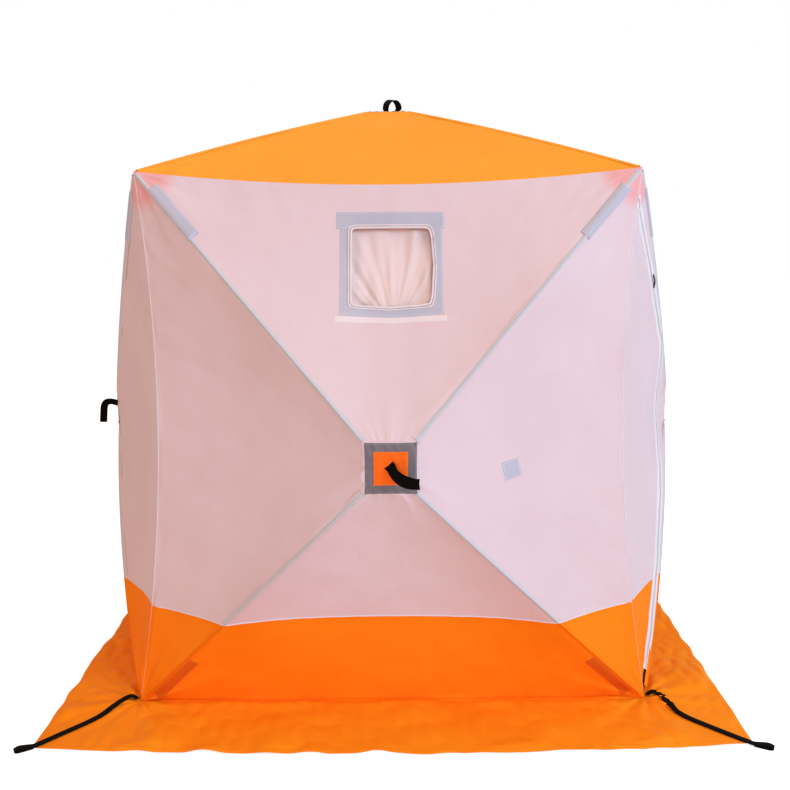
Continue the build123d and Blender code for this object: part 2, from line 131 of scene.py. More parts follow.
low_left = np.array([-HALF_BASE, -HALF_BASE, 0.0])
top_left = np.array([-HALF_TOP, -HALF_TOP, EAVES])
hub_ul = np.array([-HALF_HUB, -HUB_OUT, HUB_HEIGHT + HALF_HUB])
hub_ll = np.array([-HALF_HUB, -HUB_OUT, HUB_HEIGHT - HALF_HUB])
low_right, top_right, hub_ur, hub_lr = (q * [-1, 1, 1] for q in (low_left, top_left, hub_ul, hub_ll))


def bowed(start, end, offset=(0, 0, 0)):
    """The point halfway between two points, moved by an offset."""
    return (start + end) / 2 + np.array(offset)


def gore(a, b, c, d, ab, ac, bd, cd, pull=(0, 0, 0)):
    """Nine control points of a saddle with corners a, b, c and d. Each edge is a quadratic
    curve through its own middle point, and the centre is half the sum of the edge controls
    less a quarter of the sum of the corners, pulled inwards by the tension of the cloth."""
    ab, cd = 2 * ab - (a + b) / 2, 2 * cd - (c + d) / 2
    ac, bd = 2 * ac - (a + c) / 2, 2 * bd - (b + d) / 2
    centre = (ab + cd + ac + bd) / 2 - (a + b + c + d) / 4 + np.array(pull)
    return np.array([[a, ab, b], [ac, centre, bd], [c, cd, d]])


# Round the wall from the top left: corners, hub corners, how far each rod is bowed, and the
# seam from each corner to the next with the pull of its gore
seam_eaves = bowed(top_left, top_right, (0, 0.045, -0.045))
corners, hubs = (top_left, top_right, low_right, low_left), (hub_ul, hub_ur, hub_lr, hub_ll)
bows = (-0.009, -0.009, -0.024, -0.024)
rods = [bowed(corner, hub, (0, bow, 0)) for corner, hub, bow in zip(corners, hubs, bows)]
seams = (
    (seam_eaves, (0, 0.200, 0)),
    (bowed(top_right, low_right, (-0.056, 0.056, 0)), (-0.051, 0.170, 0)),
    (bowed(low_right, low_left), (0, 0.340, 0)),
    (bowed(low_left, top_left, (0.056, 0.056, 0)), (0.051, 0.170, 0)),
)
wall_gores = []
for i, (seam, pull) in enumerate(seams):
    j = (i + 1) % 4
    hub_edge = bowed(hubs[i], hubs[j])
    wall_gores.append(
        gore(corners[i], corners[j], hubs[i], hubs[j], seam, rods[i], rods[j], hub_edge, pull)
    )


def taut(control, u, v):
    """Point of a gore and its slopes along u and v: the product of two quadratic Bernstein
    blends, u from the outer seam to the hub and v along the seam."""
    bu = np.stack([(1 - u) ** 2, 2 * u * (1 - u), u**2], -1)
    bv = np.stack([(1 - v) ** 2, 2 * v * (1 - v), v**2], -1)
    du = np.stack([2 * u - 2, 2 - 4 * u, 2 * u], -1)
    dv = np.stack([2 * v - 2, 2 - 4 * v, 2 * v], -1)
    blend = "...i,...j,ijk->...k"
    return (
        np.einsum(blend, bu, bv, control),
        np.einsum(blend, du, bv, control),
        np.einsum(blend, bu, dv, control),
    )


def eased(x):
    """Rises smoothly from 0 to 1 as x does: three x squared less two x cubed."""
    x = np.clip(x, 0, 1)
    return x * x * (3 - 2 * x)


def gathers(seed, along, away, finest, count=6, reach=2.6):
    """Gathers that run away from a sewn edge: sines along it, each with a depth in proportion
    to its length and a reach of a few lengths, so that fine ones die out first."""
    rng = np.random.default_rng(seed)
    total = np.zeros_like(along)
    for length in finest * 1.45 ** np.arange(count):
        depth = rng.uniform(0.45, 1.0) * length * 0.06
        wave = np.sin(2 * np.pi * along / length + rng.uniform(0, 6.28))
        patchy = 0.6 + 0.4 * np.sin(2 * np.pi * along / (length * 3.7) + rng.uniform(0, 6.28))
        total += depth * patchy * wave * np.exp(-away / (reach * length))
    return total


def fanned(seed, offset, along_seam, along_rod, strength=1.0):
    """Wrinkles that fan out from a corner: sines of the angle round it, each with its own
    reach, with no depth at the corner itself."""
    across = unit(along_rod - along_rod @ along_seam * along_seam)
    x, y = offset @ along_seam, offset @ across
    radius, angle = np.hypot(x, y), np.arctan2(y, x)
    rng = np.random.default_rng(seed)
    total = np.zeros_like(radius)
    for lobes, depth, reach in ((9, 0.0030, 0.30), (17, 0.0026, 0.20), (31, 0.0018, 0.13)):
        wave = np.sin(lobes * angle + rng.uniform(0, 6.28) + 1.2 * np.sin(3 * angle))
        total += strength * depth * wave * np.minimum(radius / 0.05, 1) * np.exp(-radius / reach)
    return total


def slack(seed, x, y, longest, shortest, count=7):
    """Broad uneven slack: sines in random directions, added and scaled to about one."""
    rng = np.random.default_rng(seed)
    total = np.zeros_like(x)
    for _ in range(count):
        turn, phase = rng.uniform(0, 6.28, 2)
        length = rng.uniform(shortest, longest)
        total += np.sin(2 * np.pi * (x * np.cos(turn) + y * np.sin(turn)) / length + phase)
    return total / np.sqrt(count)


def sewn_cloth(control, u, v, seed, hub_gathers=1.0, corner_gathers=1.0):
    """A gore with its wrinkles, and its outward normals. The wrinkles move it along its
    normal, and fade to nothing at its four edges, so that gores meet without gaps."""
    p, du, dv = taut(control, u, v)
    normal = np.cross(du, dv)
    normal /= np.linalg.norm(normal, axis=-1, keepdims=True) + 1e-12
    outwards = np.sum(normal * (p - [0, 0, HUB_HEIGHT]), -1, keepdims=True)
    normal *= np.sign(outwards)
    (a, ab, b), _, (c, cd, d) = control
    seam, hub_edge = np.linalg.norm(b - a), np.linalg.norm(d - c)
    width = seam + (hub_edge - seam) * u
    depth = np.linalg.norm((c + d) / 2 - (a + b) / 2)
    to_rod = np.minimum(v, 1 - v) * width
    to_seam, to_hub = u * depth, (1 - u) * depth
    move = hub_gathers * gathers(seed, v * hub_edge, to_hub, 0.011)
    move += 0.3 * gathers(seed + 1, v * seam, to_seam, 0.045, 4, 1.6)
    for corner, far_corner, inner, extra in ((a, b, c, 2), (b, a, d, 3)):
        along_seam = (far_corner - corner) / seam
        move += fanned(seed + extra, p - corner, along_seam, unit(inner - corner), corner_gathers)
    across, down = (v - 0.5) * width, u * depth
    move += 0.0034 * slack(seed + 4, across, down, 0.75, 0.30)
    move += 0.0010 * slack(seed + 5, across, down, 0.22, 0.09)
    fade = eased(to_rod / 0.032) * eased(to_seam / 0.02) * eased(to_hub / 0.005)
    return p + normal * (move * fade)[..., None], normal


def crowded(count, share=0.7):
    """Steps from 0 to 1, closer together at both ends: t less a sine of it."""
    t = np.linspace(0, 1, count)
    return t - share * np.sin(2 * np.pi * t) / (2 * np.pi)


def quads_of(i):
    """The quads between the rows and columns of a grid of numbers."""
    return np.stack([i[:-1, :-1], i[1:, :-1], i[1:, 1:], i[:-1, 1:]], -1).reshape(-1, 4)


def grid_faces(rows, columns, start=0):
    """The quads of a grid of points, row by row."""
    return quads_of(np.arange(rows * columns).reshape(rows, columns) + start)


def gridded(points, maps):
    """A grid of points as a shape: its points, its faces and its map of metres."""
    return points, grid_faces(*points.shape[:2]).tolist(), maps


def paired(first, second):
    """A map that pairs every value of one list with every value of another."""
    first, second = np.asarray(first)[:, None], np.asarray(second)[None]
    return np.stack(np.broadcast_arrays(first, second), -1)


def gathered(shapes):
    """Several shapes as one."""
    faces, start = [], 0
    for points, theirs, _ in shapes:
        faces += [[i + start for i in face] for face in theirs]
        start += points.size // 3
    points = np.concatenate([some.reshape(-1, 3) for some, _, _ in shapes])
    maps = [some.reshape(-1, 2) for _, _, some in shapes if some is not None]
    return points, faces, np.concatenate(maps) if maps else None


def snapped(u, v, level):
    """Moves the grid points next to a level line onto it, each along its own grid line by the
    smallest step, and returns the new u and v and the faces inside and outside the line. A
    face that still straddles it has two corners on it and is split between them."""
    f = level(u, v)
    moves = np.full((4,) + f.shape, np.inf)
    with np.errstate(divide="ignore", invalid="ignore"):
        t = f[:-1] / (f[:-1] - f[1:])
        s = f[:, :-1] / (f[:, :-1] - f[:, 1:])
    crossed, crossed_s = f[:-1] * f[1:] < 0, f[:, :-1] * f[:, 1:] < 0
    moves[0, :-1] = np.where(crossed & (t <= 0.5), t, np.inf)
    moves[1, 1:] = np.where(crossed & (t > 0.5), 1 - t, np.inf)
    moves[2, :, :-1] = np.where(crossed_s & (s <= 0.5), s, np.inf)
    moves[3, :, 1:] = np.where(crossed_s & (s > 0.5), 1 - s, np.inf)
    best, size = moves.argmin(0), moves.min(0)
    moved = np.isfinite(size)
    size = np.where(moved, size, 0)
    new_u, new_v = u.copy(), v.copy()
    for k, (row, column) in enumerate(((1, 0), (-1, 0), (0, 1), (0, -1))):
        here = moved & (best == k)
        shift = (-row, -column)
        new_u += np.where(here, size * (np.roll(u, shift, (0, 1)) - u), 0)
        new_v += np.where(here, size * (np.roll(v, shift, (0, 1)) - v), 0)
    settled = np.where(moved, 0, f).ravel()
    quads = grid_faces(*f.shape)
    value = settled[quads]
    mixed = (value.min(1) < 0) & (value.max(1) > 0)
    total = np.where(np.abs(value).max(1) > 0, value.sum(1), f.ravel()[quads].sum(1))
    first = mixed & (value[:, 0] * value[:, 2] < 0)
    second = mixed & ~first
    halves = np.concatenate(
        [quads[first][:, [0, 1, 3]], quads[first][:, [1, 2, 3]]]
        + [quads[second][:, [0, 1, 2]], quads[second][:, [0, 2, 3]]]
    )
    side = settled[halves].sum(1)
    inside = quads[~mixed & (total < 0)].tolist() + halves[side < 0].tolist()
    outside = quads[~mixed & (total >= 0)].tolist() + halves[side >= 0].tolist()
    return new_u, new_v, inside, outside


def turned(points, side):
    """Points of the front wall carried round to another side by quarter turns about Z."""
    quarter = SIDES.index(side) * np.pi / 2
    c, s = np.cos(quarter), np.sin(quarter)
    return points @ np.array([[c, s, 0], [-s, c, 0], [0, 0, 1]])


def made_piece(name, shape, finish, within=(0, 0, HUB_HEIGHT)):
    """A smooth mesh piece from a shape's points, faces and map of metres, welded, with its
    faces turned away from a point within. It rides on the hut."""
    points, faces, uv = shape
    mesh = bpy.data.meshes.new(name)
    mesh.from_pydata(np.asarray(points).reshape(-1, 3).tolist(), [], faces)
    if uv is not None:
        corners = np.empty(len(mesh.loops), dtype=np.int32)
        mesh.loops.foreach_get("vertex_index", corners)
        flat = mesh.uv_layers.new(name="cut")
        flat.uv.foreach_set("vector", np.asarray(uv).reshape(-1, 2)[corners].ravel())
    welded = bmesh.new()
    welded.from_mesh(mesh)
    bmesh.ops.remove_doubles(welded, verts=welded.verts, dist=2e-5)
    if within is None:
        bmesh.ops.recalc_face_normals(welded, faces=welded.faces)
    welded.to_mesh(mesh)
    welded.free()
    if within is not None:
        centres = np.empty(len(mesh.polygons) * 3)
        normals = np.empty(len(mesh.polygons) * 3)
        mesh.polygons.foreach_get("center", centres)
        mesh.polygons.foreach_get("normal", normals)
        away = (centres.reshape(-1, 3) - within) * normals.reshape(-1, 3)
        if away.sum() < 0:
            mesh.flip_normals()
    mesh.polygons.foreach_set("use_smooth", np.ones(len(mesh.polygons), dtype=bool))
    mesh.materials.append(finish)
    made = bpy.data.objects.new(name, mesh)
    bpy.context.scene.collection.objects.link(made)
    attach(made, "root")
    return made


def cut_level(made, height, keep_above):
    """Cuts a piece along a level plane and keeps what is above or below it."""
    shape = bmesh.new()
    shape.from_mesh(made.data)
    everything = list(shape.verts) + list(shape.edges) + list(shape.faces)
    bmesh.ops.bisect_plane(
        shape, geom=everything, dist=1e-6, plane_co=(0, 0, height), plane_no=(0, 0, 1),
        clear_inner=keep_above, clear_outer=not keep_above,
    )
    shape.to_mesh(made.data)
    shape.free()
    made.data.polygons.foreach_set("use_smooth", np.ones(len(made.data.polygons), dtype=bool))


def area_of(made):
    """The area of a piece's mesh, in square metres."""
    areas = np.empty(len(made.data.polygons))
    made.data.polygons.foreach_get("area", areas)
    return float(areas.sum())


WAVE_UNIT = 0.314  # scale at which Blender's wave texture repeats once a metre


def faded(tree, value, start, end, most, colour, code):
    """Mixes a colour into another as a value goes from start to end, smoothly, up to a share."""
    sockets = {"Value": value, "From Min": start, "From Max": end, "To Min": 0.0, "To Max": most}
    share = add(tree, "MapRange", sockets, interpolation_type="SMOOTHSTEP").outputs["Result"]
    return add(tree, "Mix", {0: share, 6: colour, 7: linear(code)}, data_type="RGBA").outputs[2]


def crossed_waves(tree, place, along, across, distortion):
    """Two waves across each other, multiplied, with their spacings along and across in metres."""
    waves = [
        add(
            tree, "TexWave", {"Vector": place, "Scale": WAVE_UNIT / spacing, "Distortion": distortion},
            bands_direction=direction,
        ).outputs["Fac"]
        for direction, spacing in (("X", along), ("Y", across))
    ]
    return add(tree, "Math", {0: waves[0], 1: waves[1]}, operation="MULTIPLY").outputs[0]


def woven(name, pale, deep, thread, roughness, crinkle, sheen=0.0, specular=0.2, corner=None):
    """Coated polyester cloth. The plain weave comes from two waves across each other at the
    thread spacing, the coating shrinks it into fine crinkles, and the dye varies a little in
    broad clouds. The reinforcement behind the top corners shows through in a colour of its own."""
    made, tree, shader = finish_named(name)
    place = add(tree, "TexCoord")
    clouds = add(tree, "TexNoise", {
        "Vector": place.outputs["Object"], "Scale": 3.2, "Detail": 4.0, "Roughness": 0.6,
    })
    tone = add(tree, "ValToRGB", {"Fac": clouds.outputs["Fac"]})
    tone.color_ramp.elements[0].position = 0.3
    tone.color_ramp.elements[1].position = 0.7
    tone.color_ramp.elements[0].color = linear(deep)
    tone.color_ramp.elements[1].color = linear(pale)
    colour = tone.outputs["Color"]
    if corner:
        mirrored = add(tree, "VectorMath", {0: place.outputs["Object"]}, operation="ABSOLUTE")
        top = (HALF_TOP, HALF_TOP, EAVES)
        span = add(tree, "VectorMath", {0: mirrored.outputs[0], 1: top}, operation="DISTANCE")
        colour = faded(tree, span.outputs["Value"], 0.150, 0.085, 0.8, colour, corner)
    over = crossed_waves(tree, place.outputs["UV"], thread, thread, 0.3)
    threads = add(tree, "Bump", {"Height": over, "Strength": 0.25, "Distance": 0.0002})
    folds = add(tree, "TexNoise", {
        "Vector": place.outputs["Object"], "Scale": 26.0, "Detail": 5.0, "Roughness": 0.55,
        "Distortion": 0.6,
    })
    coat = add(tree, "Bump", {
        "Height": folds.outputs["Fac"], "Strength": 1.0, "Distance": crinkle,
        "Normal": threads.outputs["Normal"],
    })
    tree.links.new(colour, shader.inputs["Base Color"])
    tree.links.new(coat.outputs["Normal"], shader.inputs["Normal"])
    shader.inputs["Roughness"].default_value = roughness
    shader.inputs["Sheen Weight"].default_value = sheen
    shader.inputs["Sheen Roughness"].default_value = 0.45
    shader.inputs["IOR"].default_value = 1.48
    shader.inputs["Specular IOR Level"].default_value = specular
    return made


# Painted light: the white cloth's base colour is tinted pink, standing in for the orange light that comes
# through it from inside the hut
# Thread spacing is about 0.4 mm in the real cloth, too fine for the picture, and drawn at 1 mm
white_cloth = woven(
    "coated_white_polyester", "#ddccd1", "#d9c6cb", 0.001, 0.6, 0.0012, sheen=0.04, corner="#e8a3a2"
)
orange_cloth = woven("coated_orange_polyester", "#fd8b19", "#f98313", 0.001, 0.6, 0.0013, specular=0.04)


DOOR_NOSE = 0.400
DOOR_APEX = np.array([-0.030, 0.930])
DOOR_ENDS = np.array([[-0.830, 1.705], [-0.830, 0.088]])
door_runs = unit(DOOR_ENDS - DOOR_APEX)
door_square = -unit(door_runs[::-1] - (door_runs[0] @ door_runs[1]) * door_runs)
half_angle = np.arccos(door_runs[0] @ door_runs[1]) / 2
door_centre = DOOR_APEX + unit(door_runs.sum(0)) * (DOOR_NOSE / np.sin(half_angle))


def door_edge(y, z):
    """Signed distance to the door's outline, less than nought inside it: the greater distance
    to its two straight runs, or beside the nose the distance to a circle."""
    q = np.stack([y, z], -1)
    runs = ((q - DOOR_APEX) @ door_square.T).max(-1)
    nose = np.linalg.norm(q - door_centre, axis=-1) - DOOR_NOSE
    beside = ((q - door_centre) @ door_runs.T < 0).all(-1)
    return np.where(beside, nose, runs)


ZIP_BAND = 0.022
WINDOW_HALF = (0.127, 0.1195)
WINDOW_MIDDLE = (0.007, 1.4940)
WINDOW_CORNER = 0.010


def pulled(x, z):
    """How far the window's edge is pulled out of square at a place: its right side bows out
    as a parabola of the height, and its foot sags in a shallow V towards the middle."""
    across, up = x - WINDOW_MIDDLE[0], z - WINDOW_MIDDLE[1]
    right = 0.012 * np.clip(1 - (up / WINDOW_HALF[1]) ** 2, 0, 1) * eased((across + 0.05) / 0.15)
    foot = 0.011 * np.clip(1.1 - np.abs(across / WINDOW_HALF[0]), 0, 1) * eased((0.05 - up) / 0.15)
    return right, -foot


def window_edge(x, z):
    """Signed distance to the window opening: a rounded rectangle, pulled out of square."""
    right, foot = pulled(x, z)
    qx = np.abs(x - right - WINDOW_MIDDLE[0]) - WINDOW_HALF[0] + WINDOW_CORNER
    qz = np.abs(z - foot - WINDOW_MIDDLE[1]) - WINDOW_HALF[1] + WINDOW_CORNER
    return (
        np.hypot(np.maximum(qx, 0), np.maximum(qz, 0)) + np.minimum(np.maximum(qx, qz), 0) - WINDOW_CORNER
    )


def wall_seed(side, index):
    """The number that a gore's wrinkles start from."""
    return 100 * (1 + SIDES.index(side)) + 10 * index


def leaf(u, v):
    """Signed distance to the door's outline at a place on the gore that it is cut from."""
    p = taut(wall_gores[3], u, v)[0]
    return door_edge(p[..., 0], p[..., 2])


COLOUR_PARTS = (
    ("upper", white_cloth, "white_cloth", True), ("lower", orange_cloth, "orange_cloth", False),
)
v_steps = crowded(STEPS)
grid_u, grid_v = np.meshgrid(v_steps, v_steps, indexing="ij")
to_middle = np.linspace(0, 1, 5)[:, None, None]
for side in SIDES:
    shapes, door = [], None
    for index, control in enumerate(wall_gores):
        seed = wall_seed(side, index)
        u, v, kept = grid_u, grid_v, grid_faces(STEPS, STEPS).tolist()
        if index == 0 and side in ("front", "back"):
            u, v, _, kept = snapped(
                u, v, lambda u, v: window_edge(*np.moveaxis(taut(control, u, v)[0][..., [0, 2]], -1, 0))
            )
        if index == 3 and side == "right":
            door_u, door_v, door_faces, _ = snapped(u, v, leaf)
            p = sewn_cloth(control, door_u, door_v, seed)[0]
            door = turned(p, side), door_faces, p[..., [0, 2]]
            u, v, _, kept = snapped(u, v, lambda u, v: leaf(u, v) - ZIP_BAND)
        p = sewn_cloth(control, u, v, seed)[0]
        shapes.append((turned(p, side), kept, p[..., [0, 2]]))
        rim = taut(control, np.ones(STEPS), v_steps)[0]
        square = rim + (np.array([0, -HUB_OUT, HUB_HEIGHT]) - rim) * to_middle
        shapes.append(gridded(turned(square, side), square[..., [0, 2]]))
    for part, finish, slot, above in COLOUR_PARTS:
        cloth = made_piece(f"{side}_wall_{part}_cloth", gathered(shapes), finish)
        cut_level(cloth, COLOUR_SEAM, above)
        if not above:
            cut_level(cloth, FLOOR_GAP, True)
        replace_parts(cloth, f"{side}_wall_{part}")
        area_of(cloth)
    if door:
        for part, finish, slot, above in COLOUR_PARTS:
            leaf_cloth = made_piece(f"door_{part}_cloth", door, finish)
            cut_level(leaf_cloth, COLOUR_SEAM, above)
            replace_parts(leaf_cloth, f"door_{part}")
            area_of(leaf_cloth)

# Piping and rod bands: a thin cord sewn into the four corner seams and the colour seam, and a
# narrow band of the cloth raised over each rod, with the rod's shadow through the cloth painted along it.


def carried(path, across, profile, closed=True):
    """A profile carried along a path, as a shape with no map. Across is the direction of the
    profile's first value at each point, and the second goes along slope times across."""
    slope = unit(np.gradient(path, axis=0))
    across = unit(across - np.sum(across * slope, 1, keepdims=True) * slope)
    out = np.cross(slope, across)
    profile = np.asarray(profile)
    points = path[:, None] + across[:, None] * profile[:, :1] + out[:, None] * profile[:, 1:]
    i = np.arange(len(path) * len(profile)).reshape(len(path), len(profile))
    if not closed:
        return points, quads_of(i).tolist(), None
    faces = quads_of(np.concatenate([i, i[:, :1]], 1)).tolist()
    return points, faces + [i[0].tolist(), i[-1, ::-1].tolist()], None


def lengths(path):
    """The distance along a path to each of its points."""
    return np.concatenate([[0], np.cumsum(np.linalg.norm(np.diff(path, axis=0), axis=1))])


def round_profile(radius, sides=8):
    """The section of a round cord."""
    turn = np.arange(sides) * 2 * np.pi / sides
    return np.stack([radius * np.cos(turn), radius * np.sin(turn)], -1)


def on_wall(x, z, lift=0.0, side="front"):
    """Points of the sewn front wall behind x and z, and its normals, lifted off it. Newton's
    method finds u and v in each gore, the flat hub square has its own, and a place beyond the
    corner seams has no number."""
    x, z, lift = np.broadcast_arrays(x, z, lift)
    flat = (np.abs(x) <= HALF_HUB) & (np.abs(z - HUB_HEIGHT) <= HALF_HUB)
    found = np.stack([x, np.where(flat, -HUB_OUT, np.nan), z], -1)
    normals = np.zeros(found.shape) - [0, 1, 0]
    for index, control in enumerate(wall_gores):
        u = np.full(x.shape, 0.5)
        v = np.full(x.shape, 0.5)
        for _ in range(14):
            p, du, dv = taut(control, u, v)
            off_x, off_z = x - p[..., 0], z - p[..., 2]
            scale = du[..., 0] * dv[..., 2] - dv[..., 0] * du[..., 2]
            step_u = (off_x * dv[..., 2] - off_z * dv[..., 0]) / scale
            step_v = (du[..., 0] * off_z - du[..., 2] * off_x) / scale
            u = np.clip(u + step_u, -0.2, 1.2)
            v = np.clip(v + step_v, -0.2, 1.2)
        p = taut(control, u, v)[0]
        near = np.hypot(p[..., 0] - x, p[..., 2] - z) < 1e-4
        here = near & (np.abs(u - 0.5) < 0.5004) & (np.abs(v - 0.5) < 0.5004)
        q, n = sewn_cloth(control, np.clip(u, 0, 1), np.clip(v, 0, 1), wall_seed(side, index))
        found[here], normals[here] = q[here], n[here]
    return found + normals * lift[..., None], normals


def opened(made):
    """A finished material's tree, shader and colour, and the two parts of its map."""
    tree = made.node_tree
    shader = next(n for n in tree.nodes if n.type == "BSDF_PRINCIPLED")
    parts = add(tree, "SeparateXYZ", {"Vector": add(tree, "TexCoord").outputs["UV"]})
    return tree, shader, shader.inputs["Base Color"].links[0].from_socket, parts.outputs


def paint_shadow_band(made, code, core, rim):
    """Paints a shadow into a cloth's colour along a line, where the second part of its map holds the
    distance from that line: full within the core, and eased away to nothing at the rim."""
    tree, shader, base, parts = opened(made)
    off = add(tree, "Math", {0: parts["Y"]}, operation="ABSOLUTE").outputs[0]
    tree.links.new(faded(tree, off, rim, core, 1.0, base, code), shader.inputs["Base Color"])


piping_white = woven("white_piping_tape", "#e6e0e4", "#dfd7db", 0.001, 0.6, 0.0002)
piping_orange = woven("pale_orange_piping", "#fdb078", "#f8a066", 0.001, 0.6, 0.0002, specular=0.05)
# Painted shadow: the rod and its sleeve shade the cloth from behind, painted as a grey line in the white
# and a darker one in the orange
white_rod_shadow_cloth = woven(
    "white_cloth_painted_rod_shadow", "#ddccd1", "#d9c6cb", 0.001, 0.6, 0.0006, sheen=0.04, corner="#e8a3a2"
)
paint_shadow_band(white_rod_shadow_cloth, "#c3c9cf", 0.0042, 0.0145)
orange_rod_shadow_cloth = woven("orange_cloth_painted_rod_shadow", "#fd8b14", "#f98210", 0.001, 0.6, 0.0006, specular=0.04)
paint_shadow_band(orange_rod_shadow_cloth, "#ee7410", 0.000, 0.0090)
# The band's section in metres: a low round ridge over the rod, turned down at its two edges
half_band = np.array([1.5, 3, 4.5, 6.5, 9, 12, 15, 15.5]) / 1000
offsets = np.concatenate([-half_band[::-1], [0], half_band])
swell = 0.0007 + 0.0030 * np.exp(-((offsets / 0.0070) ** 2)) - 0.0022 * (np.abs(offsets) > 0.0152)
HALF_BORDER = 0.8075  # half the colour border's length, to just short of the corner seams
cords, tapes = [], []
corner_seam = taut(wall_gores[3], np.zeros(90), np.linspace(0, 1, 90))[0]
for side in SIDES:
    seam = corner_seam[corner_seam[:, 2] > FLOOR_GAP]
    outward = turned(np.tile([1.0, 0, 0], (len(seam), 1)), side)
    cords.append(carried(turned(seam, side), outward, round_profile(0.0016)))
    x = np.linspace(-HALF_BORDER, HALF_BORDER, 220)
    line, normals = on_wall(x, np.full(220, COLOUR_SEAM), 0.0006, side)
    cords.append(carried(turned(line, side), turned(normals, side), round_profile(0.0024)))
    for index, edge in ((0, 0), (0, 1), (2, 0), (2, 1)):
        u = np.linspace(0.012, 0.997, 90)
        ridge, du, dv = taut(wall_gores[index], u, np.full(90, float(edge)))
        beside = taut(wall_gores[(index + (1 if edge else 3)) % 4], u, np.full(90, 1.0 - edge))[2]
        aim = unit(np.gradient(ridge, axis=0))
        # Each half of the band leaves the ridge along its own gore, square to the ridge
        lanes = []
        for lane in (-dv if edge else dv, beside if edge else -beside):
            lanes.append(unit(lane - np.sum(lane * aim, 1, keepdims=True) * aim))
        out = lanes[0] + lanes[1]
        out = unit(-out * np.sign(out[:, 1:2]))
        first, second = np.maximum(offsets, 0)[None, :, None], np.maximum(-offsets, 0)[None, :, None]
        band = ridge[:, None] + first * lanes[0][:, None] + second * lanes[1][:, None]
        band = band + swell[None, :, None] * out[:, None]
        high = ridge[:, 2] > FLOOR_GAP + 0.02
        tapes.append(gridded(turned(band[high], side), paired(lengths(ridge)[high], offsets)))
for above, cord_finish, band_finish, tone in (
    (True, piping_white, white_rod_shadow_cloth, "white"), (False, piping_orange, orange_rod_shadow_cloth, "orange"),
):
    cord = made_piece(tone + "_seam_piping", gathered(cords), cord_finish, within=None)
    cut_level(cord, COLOUR_SEAM - 0.004, above)
    band = made_piece(tone + "_rod_bands_painted_shadow", gathered(tapes), band_finish)
    cut_level(band, COLOUR_SEAM, above)

# Windows: a clear vinyl sheet sewn behind the rounded opening, a cloth blind behind that,
# and four grey Oxford tapes round it with a white binding turned over the raw edge.


def taped(x0, x1, z0, z1, side, lift, columns=40, rows=10, lean=0.0, rim=0.0014, sag=0.0):
    """A rectangular tape on the wall, whose map holds its length and its distance to the
    nearest edge. It stands off the cloth, turns down at its rim, and can sag in a shallow V
    towards its middle."""
    s, t = np.meshgrid(np.linspace(0, 1, columns), np.linspace(0, 1, rows), indexing="ij")
    s, t = (s - 0.07 * np.sin(2 * np.pi * s)), (t - 0.1 * np.sin(2 * np.pi * t))
    x, z = x0 + (x1 - x0) * s, z0 + (z1 - z0) * t - sag * (1 - np.abs(2 * s - 1))
    centre_x, centre_z = (x0 + x1) / 2, (z0 + z1) / 2
    c, n = np.cos(lean), np.sin(lean)
    x, z = (
        centre_x + (x - centre_x) * c - (z - centre_z) * n,
        centre_z + (x - centre_x) * n + (z - centre_z) * c,
    )
    to_edge = np.minimum(np.minimum(s, 1 - s) * abs(x1 - x0), np.minimum(t, 1 - t) * abs(z1 - z0))
    height = lift * (1 - np.exp(-to_edge / rim)) - 0.0006 * (to_edge < 1e-6)
    points = turned(on_wall(x, z, height, side)[0], side)
    length = (x1 - x0) * s if abs(x1 - x0) > abs(z1 - z0) else (z1 - z0) * t
    return gridded(points, np.stack([length, to_edge], -1))


def stitched(made, inset, pitch, thread_colour, half=0.0006):
    """Adds a row of stitches at an inset from the edge to a material whose map holds the
    length and the distance to the edge: dashes where a sine of the length is high."""
    tree, shader, base, parts = opened(made)
    bump = shader.inputs["Normal"].links[0].from_socket
    off = add(tree, "Math", {0: parts["Y"], 1: inset, 2: half}, operation="COMPARE")
    phase = add(tree, "Math", {0: parts["X"], 1: 2 * np.pi / pitch}, operation="MULTIPLY")
    wave = add(tree, "Math", {0: phase.outputs[0]}, operation="SINE")
    dash = add(tree, "Math", {0: wave.outputs[0], 1: -0.4}, operation="GREATER_THAN")
    row = add(tree, "Math", {0: off.outputs[0], 1: dash.outputs[0]}, operation="MULTIPLY")
    thread = add(
        tree, "Mix", {0: row.outputs[0], 6: base, 7: linear(thread_colour)}, data_type="RGBA"
    )
    raised = add(
        tree, "Bump", {"Height": row.outputs[0], "Strength": 0.6, "Distance": 0.0005, "Normal": bump}
    )
    tree.links.new(thread.outputs[2], shader.inputs["Base Color"])
    tree.links.new(raised.outputs["Normal"], shader.inputs["Normal"])


# Oxford cloth is coarser, about 0.6 mm a thread, drawn at 1.4 mm
grey_oxford = woven("grey_oxford_tape", "#bfc2cf", "#b0b4c3", 0.0014, 0.65, 0.0007, sheen=0.05)
stitched(grey_oxford, 0.0045, 0.0042, "#e4e2ea")
blind_cloth = woven("white_blind_cloth", "#eadedd", "#e5d3d2", 0.001, 0.65, 0.0008, specular=0.1)
# Painted shade: the blind's colour is darkened to an orange-brown along its head and its right edge,
# where it lies in shadow behind the opening's edge
paint_shadow_band(blind_cloth, "#d49a86", 0.0, 0.009)

# Plasticised vinyl: clear, a little warm, smooth with the slow ripples of a rolled sheet
vinyl, tree, shader = finish_named("clear_vinyl_film")
place = add(tree, "TexCoord")
ripple = add(tree, "TexNoise", {"Vector": place.outputs["Object"], "Scale": 14.0, "Detail": 1.0})
relief = add(tree, "Bump", {"Height": ripple.outputs["Fac"], "Strength": 0.5, "Distance": 0.004})
tree.links.new(relief.outputs["Normal"], shader.inputs["Normal"])
shader.inputs["Base Color"].default_value = linear("#f4e6e4")
shader.inputs["Roughness"].default_value = 0.12
shader.inputs["IOR"].default_value = 1.53
shader.inputs["Alpha"].default_value = 0.16

